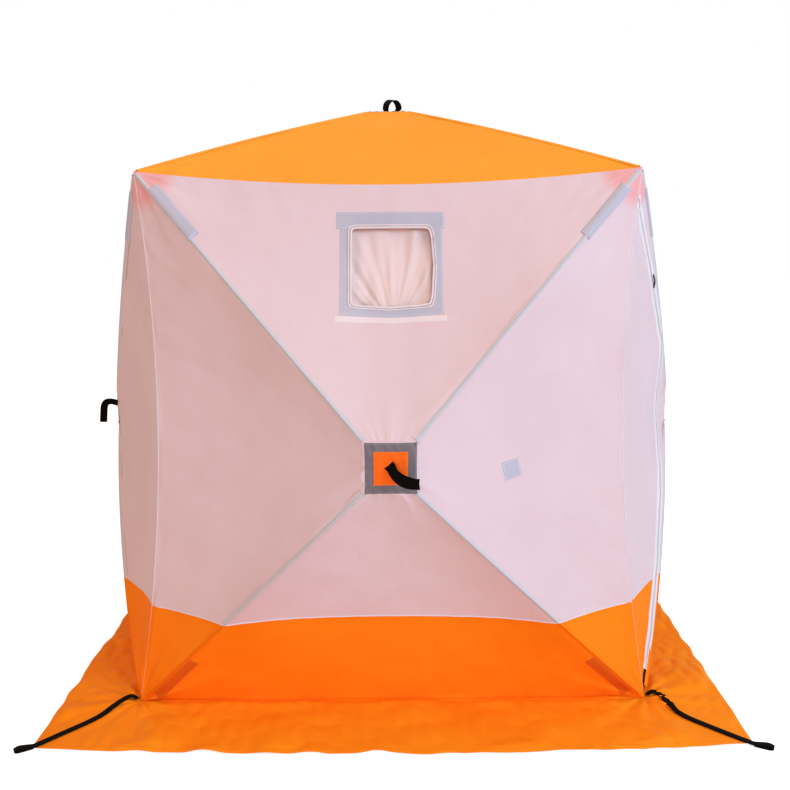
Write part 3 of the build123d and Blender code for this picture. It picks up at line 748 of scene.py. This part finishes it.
# Left, right, foot and head tapes: x from and to, z from and to, lift, columns, rows, sag
WINDOW_TAPES = (
    (-0.158, -0.117, 1.343, 1.628, 0.0014, 10, 40, 0.0),
    (0.1450, 0.176, 1.343, 1.628, 0.0014, 10, 40, 0.0),
    (-0.158, 0.176, 1.343, 1.3735, 0.0020, 44, 10, 0.012),
    (-0.170, 0.184, 1.611, 1.666, 0.0024, 44, 12, 0.0),
)
for side in ("front", "back"):
    tapes = [taped(*row[:4], side, *row[4:7], sag=row[7]) for row in WINDOW_TAPES]
    tape = made_piece(f"{side}_window_tapes", gathered(tapes), grey_oxford)
    apron = taped(-0.172, 0.186, 1.322, 1.341, side, 0.0010, 44, 8, sag=0.008)
    made_piece(f"{side}_window_apron", apron, piping_white)
    turn = np.linspace(0, 2 * np.pi, 240, endpoint=False)
    c, n = np.cos(turn), np.sin(turn)
    square = np.sign(c) * np.abs(c) ** 0.11, np.sign(n) * np.abs(n) ** 0.11
    binding = []
    for grow, radius, lift in ((0.001, 0.0036, 0.0016), (0.0085, 0.0024, 0.0028)):
        x = WINDOW_MIDDLE[0] + (WINDOW_HALF[0] + grow) * square[0]
        z = WINDOW_MIDDLE[1] + (WINDOW_HALF[1] + grow) * square[1]
        right, foot = pulled(x, z)
        x, z = x + right, z + foot
        loop, normals = on_wall(np.append(x, x[:3]), np.append(z, z[:3]), lift, side)
        binding.append(carried(turned(loop, side), turned(normals, side), round_profile(radius)))
    made_piece(f"{side}_window_binding", gathered(binding), piping_white, within=None)
    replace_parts(tape, f"{side}_window_frame")
    s, t = np.meshgrid(np.linspace(-0.137, 0.157, 90), np.linspace(1.355, 1.630, 90), indexing="ij")
    # The blind's folds hang from its head and run together at the middle of its foot
    turn, far = np.arctan2(s - 0.012, t - 1.300), np.hypot(s - 0.012, t - 1.300)
    folds = 0.0036 * np.sin(19 * turn + 2.2 + 4 * far) + 0.0016 * np.sin(41 * turn + 1.0 + 9 * far)
    folds = folds * eased(far / 0.12) + 0.0050 * slack(31, s, 0.4 * t, 0.14, 0.05, 7)
    held = eased((0.147 - np.abs(s - 0.010)) / 0.03) * eased((1.630 - t) / 0.03)
    blind = turned(on_wall(s, t, -0.016 - 0.004 * held + folds * held, side)[0], side)
    # The blind's map holds its distance to its head and its right edge, along which its shade is painted
    to_edge = np.minimum(1.6135 - t, 0.134 + 0.010 * (1 - ((t - 1.494) / 0.12) ** 2) - s)
    blind = gridded(blind, np.stack([s, np.maximum(to_edge, 0)], -1))
    blind = made_piece(f"{side}_window_blind_cloth", blind, blind_cloth)
    film = gridded(turned(on_wall(s, t, -0.0036, side)[0], side), np.stack([s, t], -1))
    film = made_piece(f"{side}_window_vinyl", film, vinyl)
    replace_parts(blind, f"{side}_window_blind")
    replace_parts(film, f"{side}_window_film")

# Door zip: a white tape round the leaf with a coil of nylon teeth along its middle, and a
# slider with a webbing pull.
zip_tape = woven("white_zip_tape", "#e8e6ea", "#dfdbe0", 0.0009, 0.6, 0.0003)

# Coiled nylon monofilament: off-white, shiny, with a tooth every 2.5 mm
coil, tree, shader = finish_named("nylon_zip_coil")
place = add(tree, "TexCoord")
teeth = add(
    tree, "TexWave", {"Vector": place.outputs["UV"], "Scale": WAVE_UNIT / 0.0025}, bands_direction="X"
)
toned(tree, shader, teeth.outputs["Fac"], "#b9b2b4", "#ece6e8", 1.0, 0.0012, 0.35)

tangent = DOOR_APEX + door_runs * (DOOR_NOSE / np.tan(half_angle))
turn = [np.arctan2(*(p - door_centre)[::-1]) for p in tangent]
turn[1] += 2 * np.pi if turn[1] > turn[0] + np.pi else 0
bend = np.linspace(turn[0], turn[1] if turn[1] < turn[0] else turn[1] - 2 * np.pi, 90)
upper = tangent[0] + (DOOR_ENDS[0] - tangent[0]) * np.linspace(1, 0, 80, endpoint=False)[:, None]
lower = tangent[1] + (DOOR_ENDS[1] - tangent[1]) * np.linspace(0, 1, 80)[1:, None]
nose = door_centre + DOOR_NOSE * np.stack([np.cos(bend), np.sin(bend)], -1)
outline = np.concatenate([upper, nose, lower])
slope = unit(np.gradient(outline, axis=0))
outward = np.stack([slope[:, 1], -slope[:, 0]], -1)
if (outward[120] @ (outline[120] - door_centre)) < 0:
    outward = -outward
along = lengths(outline)


def zip_band(offsets, lifts):
    """A band along the door's outline: each row is the outline moved square to itself by an
    offset, and lifted off the wall. It ends where it meets the corner seam."""
    place = outline[:, None] + outward[:, None] * np.asarray(offsets)[None, :, None]
    limit = np.interp(place[..., 1], corner_seam[:, 2], corner_seam[:, 0]) + 0.0006
    sewn = (place[..., 0] > limit).any(1)
    place, limit = place[sewn], limit[sewn]
    points = on_wall(np.maximum(place[..., 0], limit), place[..., 1], np.asarray(lifts)[None], "right")[0]
    return gridded(turned(points, "right"), paired(along[sewn], offsets))


tape = zip_band(
    (-0.006, -0.005, 0.0, 0.0105, 0.0215, 0.0265, 0.0275),
    (-0.0005, 0.0016, 0.0018, 0.0018, 0.0018, 0.0016, -0.0005),
)
zip_piece = made_piece("door_zip_tape", tape, zip_tape)
teeth = zip_band(
    (0.0072, 0.0080, 0.0095, 0.0108, 0.0121, 0.0136, 0.0144),
    (0.0015, 0.0030, 0.0036, 0.0031, 0.0036, 0.0030, 0.0015),
)
made_piece("door_zip_coil", teeth, coil)
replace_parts(zip_piece, "door_zip")

# Black nylon webbing, 1.8 mm ribs drawn at 2.5 mm: a dense herringbone with a dull shine
webbing, tree, shader = finish_named("black_nylon_webbing")
place = add(tree, "TexCoord")
plait = crossed_waves(tree, place.outputs["UV"], 0.0025, 0.005, 1.0)
toned(tree, shader, plait, "#050404", "#100d0c", 0.7, 0.0006, 0.75)
shader.inputs["Specular IOR Level"].default_value = 0.04


def through(marks, count):
    """A smooth line through marks: between two of them each coordinate is the cubic whose end
    slopes are half the steps between the neighbours (Catmull and Rom's rule)."""
    marks = np.asarray(marks, dtype=float)
    ends = np.concatenate([2 * marks[:1] - marks[1:2], marks, 2 * marks[-1:] - marks[-2:-1]])
    t = np.linspace(0, len(marks) - 1 - 1e-9, count)
    k, t = t.astype(int), (t % 1)[:, None]
    a, b, c, d = ends[k], ends[k + 1], ends[k + 2], ends[k + 3]
    squared, cubed = (2 * a - 5 * b + 4 * c - d) * t**2, (3 * b - a - 3 * c + d) * t**3
    return 0.5 * (2 * b + (c - a) * t + squared + cubed)


def band_profile(width, thickness):
    """The section of webbing: a rectangle with rounded edges and a slightly hollow face."""
    half, edge = width / 2, thickness / 2
    across = (0.0008 - half, -half / 2, 0, half / 2, half - 0.0008)
    top = list(zip(across, (edge, edge * 0.85, edge * 0.8, edge * 0.85, edge)))
    return [(-half, 0)] + top + [(half, 0)] + [(a, -b) for a, b in top[::-1]]


def webbing_piece(name, runs, width, thickness):
    """Webbing along several runs of marks, each with the direction of its width at its start
    and at its end."""
    shapes, profile = [], band_profile(width, thickness)
    for marks, first, last, count in runs:
        path = through(marks, count)
        share = np.linspace(0, 1, count)[:, None]
        across = np.asarray(first) * (1 - share) + np.asarray(last) * share
        points, faces, _ = carried(path, across, profile)
        shapes.append((points, faces, paired(lengths(path), [q[0] for q in profile])))
    return made_piece(name, gathered(shapes), webbing, within=None)


pull_place, _ = on_wall(np.array([-0.537, -0.503]), np.array([1.449, 1.402]), 0.004, "right")
tab = turned(np.stack([pull_place[0], pull_place.mean(0) + [0, -0.004, 0], pull_place[1]]), "right")
zip_pull = webbing_piece("door_zip_pull_tab", [(tab, (0, 0.8, 0.6), (0, 0.8, 0.6), 12)], 0.010, 0.003)
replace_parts(zip_pull, "door_zip_pull")

# Reinforcements: grey Oxford strips over the upper rod ends and orange ones over the lower,
# a small grey loop patch on the front, and a grey square with an orange one on it at each hub.
orange_oxford = woven("orange_oxford_tape", "#dd6a1c", "#cf5f16", 0.0014, 0.65, 0.0006, specular=0.05)
stitched(orange_oxford, 0.0045, 0.0042, "#f08b42")


STRIP_HALF = (0.1075, 0.019)


def rod_end(side, flip, upper, beside):
    """A strip along a rod near its corner: a tape laid along the line from the corner to the
    hub, moved sideways from it."""
    corner = top_left if upper else low_left
    inner = hub_ul if upper else hub_ll
    aim = unit((inner - corner)[[0, 2]])
    square = np.array([-aim[1], aim[0]])
    start, lift, rim = (0.078, 0.0080, 0.0034) if upper else (0.062, 0.0026, 0.0016)
    middle = corner[[0, 2]] + aim * (start + STRIP_HALF[0]) + square * beside
    sign = -1 if flip else 1
    x, z = sign * middle[0], middle[1]
    return taped(
        x - STRIP_HALF[0], x + STRIP_HALF[0], z - STRIP_HALF[1], z + STRIP_HALF[1],
        side, lift, 60, 18, sign * np.arctan2(aim[1], aim[0]), rim,
    )


for upper, finish, slot, name, besides in (
    (True, grey_oxford, "grey_webbing", "upper_rod_end_", (0.011, -0.001)),
    (False, orange_oxford, "orange_cloth", "lower_rod_end_", (-0.024, -0.024)),
):
    strips = [rod_end(side, flip, upper, besides[flip]) for side in SIDES for flip in (0, 1)]
    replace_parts(made_piece(name + "tapes", gathered(strips), finish), name + "strips")

loop_patch = taped(0.364, 0.424, 0.812, 0.872, "front", 0.002, 30, 30, 0.20, 0.002)
loop_patch = made_piece("front_loop_square", loop_patch, grey_oxford)
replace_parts(loop_patch, "front_loop_patch")

grey_patch = woven("grey_nylon_patch", "#7a777d", "#69666d", 0.0014, 0.55, 0.0010)
stitched(grey_patch, 0.004, 0.0042, "#9a9293")
orange_patch = woven("orange_patch_cloth", "#fe7220", "#fc6816", 0.0012, 0.6, 0.0008, specular=0.05)
stitched(orange_patch, 0.003, 0.0042, "#ff9a55")


def square_patch(half, base, swell, seed, pleats, steps=56):
    """A square of cloth sewn over a hub: flat at its stitches, a little swollen inside them and
    pulled into pleats that run in from its sides, which bow inwards between the corners as
    parabolas. Returned as x, height and z about the hub, and its map."""
    s, t = np.meshgrid(crowded(steps, 0.5), crowded(steps, 0.5), indexing="ij")
    a, b = 2 * s - 1, 2 * t - 1
    x, z = a * half * (1 - 0.018 * (1 - b**2)), b * half * (1 - 0.018 * (1 - a**2))
    to_edge = half * (1 - np.maximum(np.abs(a), np.abs(b)))
    height = base + swell * eased(to_edge / 0.010)
    lean = x + 0.5 * z, z - 0.5 * x
    edge_fold = gathers(seed, lean[0], half * (1 - np.abs(b)), 0.011, 4)
    edge_fold += gathers(seed + 1, lean[1], half * (1 - np.abs(a)), 0.011, 4)
    rim = eased((np.maximum(np.abs(a), np.abs(b)) - 0.62) / 0.1) if pleats > 1 else 1
    height += pleats * edge_fold * eased(to_edge / 0.005) * rim
    height = np.where(to_edge < 1e-6, base - 0.0016, np.maximum(height, base))
    length = np.where(np.abs(a) > np.abs(b), z, x)
    return x, height, z, np.stack([length, to_edge], -1)


PEAK = 2.079
for name, finish, slot, half, base, swell, seed, pleats in (
    ("hub_squares", grey_patch, "grey_cloth", 0.0805, 0.0012, 0.0018, 5, 1.6),
    ("hub_square_insets", orange_patch, "orange_cloth", 0.053, 0.0050, 0.0012, 9, 0.5),
):
    x, height, z, maps = square_patch(half, base, swell, seed, pleats)
    wall_patch = np.stack([x + 0.004, -HUB_OUT - height, HUB_HEIGHT - 0.004 + z], -1)
    squares = [gridded(turned(wall_patch, side), maps) for side in SIDES]
    squares.append(gridded(np.stack([x, z, PEAK + height], -1), maps))
    patch = made_piece(name, gathered(squares), finish, within=(0, 0, 0.9))
    if name == "hub_squares":
        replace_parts(patch, "hub_patches")

# Roof: four more gores of coated orange cloth over the roof rods, sewn to the walls at the
# eaves, with a flat square at the hub and a low tape sewn over each rod.
roof_left = np.array([-HALF_HUB, -HALF_HUB, PEAK])
roof_right = np.array([HALF_HUB, -HALF_HUB, PEAK])
roof_gore = gore(
    top_left, top_right, roof_left, roof_right, seam_eaves, bowed(top_left, roof_left, (0, 0, 0.009)),
    bowed(top_right, roof_right, (0, 0, 0.009)), bowed(roof_left, roof_right),
)
RIB_PROFILE = [(-0.009, -0.003), (-0.005, 0.0016), (0, 0.0030), (0.005, 0.0016), (0.009, -0.003)]
shapes, ribs = [], []
grid_u, grid_v = np.meshgrid(crowded(80), v_steps, indexing="ij")
rim = taut(roof_gore, np.ones(STEPS), v_steps)[0]
square = rim + (np.array([0, 0, PEAK]) - rim) * to_middle
ridge = taut(roof_gore, np.linspace(0.01, 0.998, 80), np.zeros(80))[0]
across = np.cross([0, 0, 1], np.gradient(ridge, axis=0))
for side in SIDES:
    p = sewn_cloth(roof_gore, grid_u, grid_v, 900 + 20 * SIDES.index(side), 0.7, 0.7)[0]
    shapes += [gridded(turned(p, side), p[..., :2]), gridded(turned(square, side), square[..., :2])]
    ribs.append(carried(turned(ridge, side), turned(across, side), RIB_PROFILE, closed=False))
roof_orange = woven("coated_orange_roof", "#fbab3a", "#f9a633", 0.001, 0.6, 0.0012, specular=0.06)
roof = made_piece("roof_cloth", gathered(shapes), roof_orange)
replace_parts(roof, "roof")
area_of(roof)
made_piece("roof_rod_tapes", gathered(ribs), roof_orange)

# Straps: doubled black nylon webbing, sewn through each hub patch, to pull the hub out by.
# Each is a band carried along a line through its marks, turning from one width to another.
STRAP_THICKNESS = 0.0030
# The front strap leaves its hub, is folded over at the right and comes back over itself
front_pull = [
    (0.002, -1.142, 0.893), (0.020, -1.156, 0.879), (0.050, -1.186, 0.866), (0.079, -1.212, 0.862),
    (0.0870, -1.2185, 0.8625), (0.0845, -1.2235, 0.864), (0.064, -1.219, 0.8637), (0.044, -1.210, 0.867),
    (0.0268, -1.196, 0.875), (0.0133, -1.177, 0.887), (0.006, -1.160, 0.898), (0.0, -1.149, 0.903),
    (-0.003, -1.142, 0.901),
]
hanging = [
    (0, -1.141, 0.900), (0, -1.160, 0.903), (0.001, -1.190, 0.911), (0.001, -1.212, 0.909),
    (0.000, -1.224, 0.893), (-0.002, -1.229, 0.862), (-0.003, -1.233, 0.822),
]
# The right strap has dropped back along the wall
fallen = [
    (0, -1.141, 0.898), (0.004, -1.150, 0.899), (0.016, -1.158, 0.895), (0.030, -1.160, 0.880),
    (0.036, -1.158, 0.855), (0.038, -1.155, 0.825),
]
for side, width, count, *run in (
    ("front", 0.033, 90, front_pull, (-0.6, 0, 1.2), (0.85, 0, 0.6)),
    ("back", 0.030, 60, hanging, (0.25, 0, 1.0), (0.35, -1.0, 0)),
    ("left", 0.030, 60, hanging, (0.25, 0, 1.0), (0.35, -1.0, 0)),
    ("right", 0.030, 60, fallen, (0.1, 0, 1.0), (1.0, 0.25, 0)),
):
    run = [turned(np.array(part), side) for part in run]
    pull = webbing_piece(side + "_pull_webbing", [(*run, count)], width, STRAP_THICKNESS)
    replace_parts(pull, side + "_pull_strap")
# The roof strap is a crumpled loop that stands across the peak at a slant, as reach and height
reach = np.array([-8, -19, -14, 6, 34, 55, 60, 36, 12, 4]) / 1000
rise = np.array([1, 17, 38, 54, 58, 46, 26, 13, 9, 1]) / 1000
slant = np.deg2rad(50)
roof_pull = np.stack([reach * np.cos(slant), reach * np.sin(slant), 2.080 + rise], -1)
face = np.array([-np.sin(slant), np.cos(slant), 0.0])
run = roof_pull, face + [0, 0, 0.5], face - [0.3, 0, 0.3], 90
pull = webbing_piece("roof_pull_webbing", [run], 0.030, STRAP_THICKNESS)
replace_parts(pull, "roof_pull_strap")

# Snow skirt: an apron of the orange cloth sewn round the foot of the walls and spread on the
# floor, hemmed at its edge, creased where it leaves the wall and pulled towards its corners.
HEM_INSIDE = 0.845
SKIRT_CORNER = (1.138, 1.172)
skirt_cloth = woven("coated_orange_skirt", "#fd971b", "#fa8d15", 0.001, 0.6, 0.0022, specular=0.06)
stitched(skirt_cloth, 0.014, 0.005, "#e87817", 0.0008)
t, s = np.meshgrid(np.linspace(0, 1, 60), crowded(230, 0.6), indexing="ij")


def corner_folds(x, y):
    """Height of the folds that fan out from the foot of each corner: two triangle waves of the
    angle round it, each no deeper than a share of the radius, that die out towards the hem."""
    dx, dy = np.abs(x) - HALF_BASE, np.abs(y) - HALF_BASE
    radius, angle = np.hypot(dx, dy), np.arctan2(dy, dx) / (2 * np.pi)
    phase = 0.37 * (x > 0) + 0.21 * (y > 0)
    total = 0.0
    for lobes, depth, reach in ((11, 0.0120, 0.17), (23, 0.0050, 0.12)):
        peak = 1 - np.abs(2 * ((lobes * angle + lobes * phase) % 1) - 1)
        total = total + depth * np.minimum(radius / 0.06, 1) * np.exp(-radius / reach) * eased(1.1 * peak)
    return total * eased((np.maximum(dx, dy) + 0.002) / 0.02) * eased((0.30 - np.maximum(dx, dy)) / 0.08)


for side, bulge, seed in (
    ("front", 0.042, 41), ("right", 0.016, 43), ("back", 0.042, 47), ("left", 0.004, 53),
):
    corner_x, corner_y = SKIRT_CORNER if side in ("front", "back") else SKIRT_CORNER[::-1]
    a = 2 * s - 1
    wave = 0.004 * slack(seed, a, 0 * a, 0.45, 0.2) + 0.003 * slack(seed + 7, a, 0 * a, 0.17, 0.08)
    wave *= 1 - a**4
    inner = np.stack([a * HEM_INSIDE, -HEM_INSIDE + 0 * a, 0 * a], -1)
    outer_y = -corner_y - bulge * (1 - np.abs(a) ** 3) - wave
    outer = np.stack([a * corner_x, outer_y, 0 * a], -1)
    flat = inner + (outer - inner) * t[..., None]
    x, y = flat[..., 0], flat[..., 1]
    from_wall = np.maximum(-y - HALF_BASE, 0)
    corner_fade = 1 - eased((np.abs(a) - 0.86) / 0.14)
    # A crease beside the wall, broad lumps and small ones between it and the hem
    crease = np.exp(-(((from_wall - 0.045) / 0.026) ** 2))
    crease *= 0.7 + 0.3 * slack(seed + 1, x, 0 * x, 0.6, 0.3)
    lumps = np.maximum(slack(seed + 2, x, 0.6 * y, 0.40, 0.18), 0) * eased((1 - t) / 0.10)
    small = np.abs(slack(seed + 3, x, y, 0.16, 0.07)) * eased((1 - t) / 0.04)
    lift = 0.010 * crease + (0.012 * lumps + 0.005 * small) * eased(t / 0.3)
    lift *= corner_fade * eased((-y - HEM_INSIDE - 0.028) / 0.02)
    # It rises a little against the foot of the wall, and the hem curls up from the floor in places
    rise = np.exp(-(((from_wall - 0.006) / 0.010) ** 2)) * (-y > HALF_BASE - 0.004)
    lift += 0.0045 * rise * corner_fade
    lift += corner_folds(*np.moveaxis(turned(flat, side)[..., :2], -1, 0))
    curl = np.maximum(slack(seed + 9, a, 0 * a, 0.22, 0.10), 0) * eased((t - 0.75) / 0.25)
    lift += 0.004 * curl * (1 - a**8)
    height = 0.0030 + np.maximum(lift, 0)
    place = np.stack([x, y, height], -1)
    to_hem = (1 - t) * (-outer_y - HEM_INSIDE)
    apron = gridded(turned(place, side), np.stack([x, to_hem], -1))
    apron = made_piece(side + "_skirt_cloth", apron, skirt_cloth, within=(0, 0, -5))
    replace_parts(apron, side + "_skirt")
    area_of(apron)

# Ground straps: black nylon webbing sewn down on the skirt's mitres, lying over its folds,
# with a loop for a peg at the end. The back's are the front's turned round.
LEFT_MARKS = [
    (-0.884, -0.874), (-0.912, -0.868), (-0.945, -0.915), (-0.985, -1.000), (-1.055, -1.082),
    (-1.132, -1.166),
]
RIGHT_MARKS = [
    (0.880, -0.872), (0.908, -0.860), (0.932, -0.890), (0.958, -0.990), (1.030, -1.078),
    (1.136, -1.180),
]
MARK_HEIGHTS = [0.012, 0.018, 0.015, 0.010, 0.0075, 0.0065]
# The loop past the last mark, as distance along the strap and height
PEG_LOOP = (
    (0.020, 0.004), (0.045, 0.007), (0.060, 0.001), (0.050, -0.004), (0.020, -0.004), (0.002, -0.003),
)
runs = []
for side in ("front", "back"):
    for marks in (LEFT_MARKS, RIGHT_MARKS):
        marks = through(np.column_stack([marks, MARK_HEIGHTS]), 40)
        over = corner_folds(marks[:, 0], marks[:, 1]) + 0.0065
        line = np.column_stack([marks[:, :2], np.maximum(marks[:, 2], over)])
        end = line[-1]
        aim = unit((line[-1] - line[-2]) * [1, 0.55, 0])
        line = np.concatenate([line, [end + aim * far + [0, 0, up] for far, up in PEG_LOOP]])
        across = np.array([aim[1], -aim[0], 0])
        runs.append((turned(line, side), turned(across, side), turned(across, side), 120))
pegs = webbing_piece("corner_peg_webbing", runs, 0.025, 0.0022)
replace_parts(pegs, "corner_peg_straps")

# Floor: a wide pale matt disc just under the hut, kept white to the camera outside the hut's
# soft shadow by a glow that lights nothing.


def seen_rays(tree):
    """1 for rays that the picture shows, straight, mirrored or through a film, and 0 for the
    others, which carry light."""
    path = add(tree, "LightPath").outputs
    seen = add(tree, "Math", {0: path["Is Camera Ray"], 1: path["Is Glossy Ray"]}, operation="MAXIMUM")
    seen = add(tree, "Math", {0: seen.outputs[0], 1: path["Is Transmission Ray"]}, operation="MAXIMUM")
    return seen.outputs[0]


ground, tree, shader = finish_named("pale_floor")
shader.inputs["Base Color"].default_value = linear("#e8e8e8")
shader.inputs["Roughness"].default_value = 0.9
shader.inputs["Specular IOR Level"].default_value = 0.0
shader.inputs["Emission Color"].default_value = (1, 1, 1, 1)
glow = add(tree, "Math", {0: seen_rays(tree), 1: 0.75}, operation="MULTIPLY")
tree.links.new(glow.outputs[0], shader.inputs["Emission Strength"])
turn = np.arange(128) * 2 * np.pi / 128
rings = np.array([0.0, 1.0, 2.0, 4.0, 9.0, 40.0])
flat = rings[:, None, None] * np.stack([np.cos(turn), np.sin(turn), 0 * turn], -1)
disc = flat - [0, 0, 0.0004]
around = np.concatenate([disc, disc[:, :1]], 1)
floor_mesh = bpy.data.meshes.new("floor")
floor_mesh.from_pydata(around.reshape(-1, 3).tolist(), [], grid_faces(6, 129).tolist())
floor_mesh.materials.append(ground)
floor = bpy.data.objects.new("floor", floor_mesh)
bpy.context.scene.collection.objects.link(floor)

# Light: a large cool lamp high on the right in front and a weak one level with the right wall,
# a weak orange one on the left as from a warm wall, soft ones overhead and in front, and a
# warm even room light. The room is plain white to the camera.
for name, place, aim, size, power, colour in (
    ("right_lamp", (4.7, -4.9, 4.3), (0.0, 0.0, 0.9), 3.5, 257.0, (0.586, 0.771, 1.0)),
    ("left_lamp", (-5.5, -3.2, 2.0), (0.0, 0.0, 0.8), 3.5, 33.0, (1.0, 0.38, 0.10)),
    ("side_lamp", (6.0, 0.5, 1.5), (0.0, 0.0, 0.9), 3.0, 50.0, (0.25, 0.66, 1.0)),
    ("top_lamp", (0.0, -0.5, 6.5), (0.0, 0.0, 0.0), 4.0, 76.0, (1.0, 0.693, 0.507)),
    ("front_lamp", (0.5, -7.0, 1.6), (0.0, 0.0, 0.8), 3.0, 84.0, (1.0, 0.893, 0.884)),
):
    lamp = bpy.data.lights.new(name, "AREA")
    lamp.shape, lamp.size, lamp.energy, lamp.color = "SQUARE", size, power, colour
    lit = bpy.data.objects.new(name, lamp)
    lit.location = place
    back = unit(np.array(place) - np.array(aim))
    right = unit(np.cross([0, 0, 1] if abs(back[2]) < 0.99 else [0, 1, 0], back))
    axes = np.column_stack([right, np.cross(back, right), back])
    lit.rotation_euler = Matrix(axes.tolist()).to_euler()
    bpy.context.scene.collection.objects.link(lit)

room = bpy.data.worlds.new("studio")
bpy.context.scene.world = room
room.use_nodes = True
tree = room.node_tree
tree.nodes.clear()
tint = add(
    tree, "Mix", {0: seen_rays(tree), 6: (0.559, 0.395, 0.330, 1), 7: (1, 1, 1, 1)}, data_type="RGBA"
)
sky = add(tree, "Background", {"Color": tint.outputs[2], "Strength": 1.0})
add(tree, "OutputWorld", {"Surface": sky.outputs[0]})

# Camera: at eye height in front of the hut, a little right of its middle, looking down on it
# and rolled by half a degree.
CAMERA_YAW, CAMERA_PITCH, CAMERA_ROLL = -0.0033, 0.1637, -0.0084
towards = np.array([np.sin(CAMERA_YAW), np.cos(CAMERA_YAW), 0])
ahead = towards * np.cos(CAMERA_PITCH) - [0, 0, np.sin(CAMERA_PITCH)]
level = np.array([np.cos(CAMERA_YAW), -np.sin(CAMERA_YAW), 0])
upright = np.cross(level, ahead)
right = level * np.cos(CAMERA_ROLL) + upright * np.sin(CAMERA_ROLL)
upright = upright * np.cos(CAMERA_ROLL) - level * np.sin(CAMERA_ROLL)
lens = bpy.data.cameras.new("camera")
lens.lens, lens.sensor_width = 41.636, 36.0
lens.clip_start, lens.clip_end = 0.1, 200.0
camera = bpy.data.objects.new("camera", lens)
turn = Matrix(np.column_stack([right, upright, -ahead]).tolist()).to_4x4()
camera.matrix_world = Matrix.Translation((0.0277, -3.834, 1.5625)) @ turn
bpy.context.scene.collection.objects.link(camera)
bpy.context.scene.camera = camera
bpy.context.scene.view_settings.view_transform = "Standard"
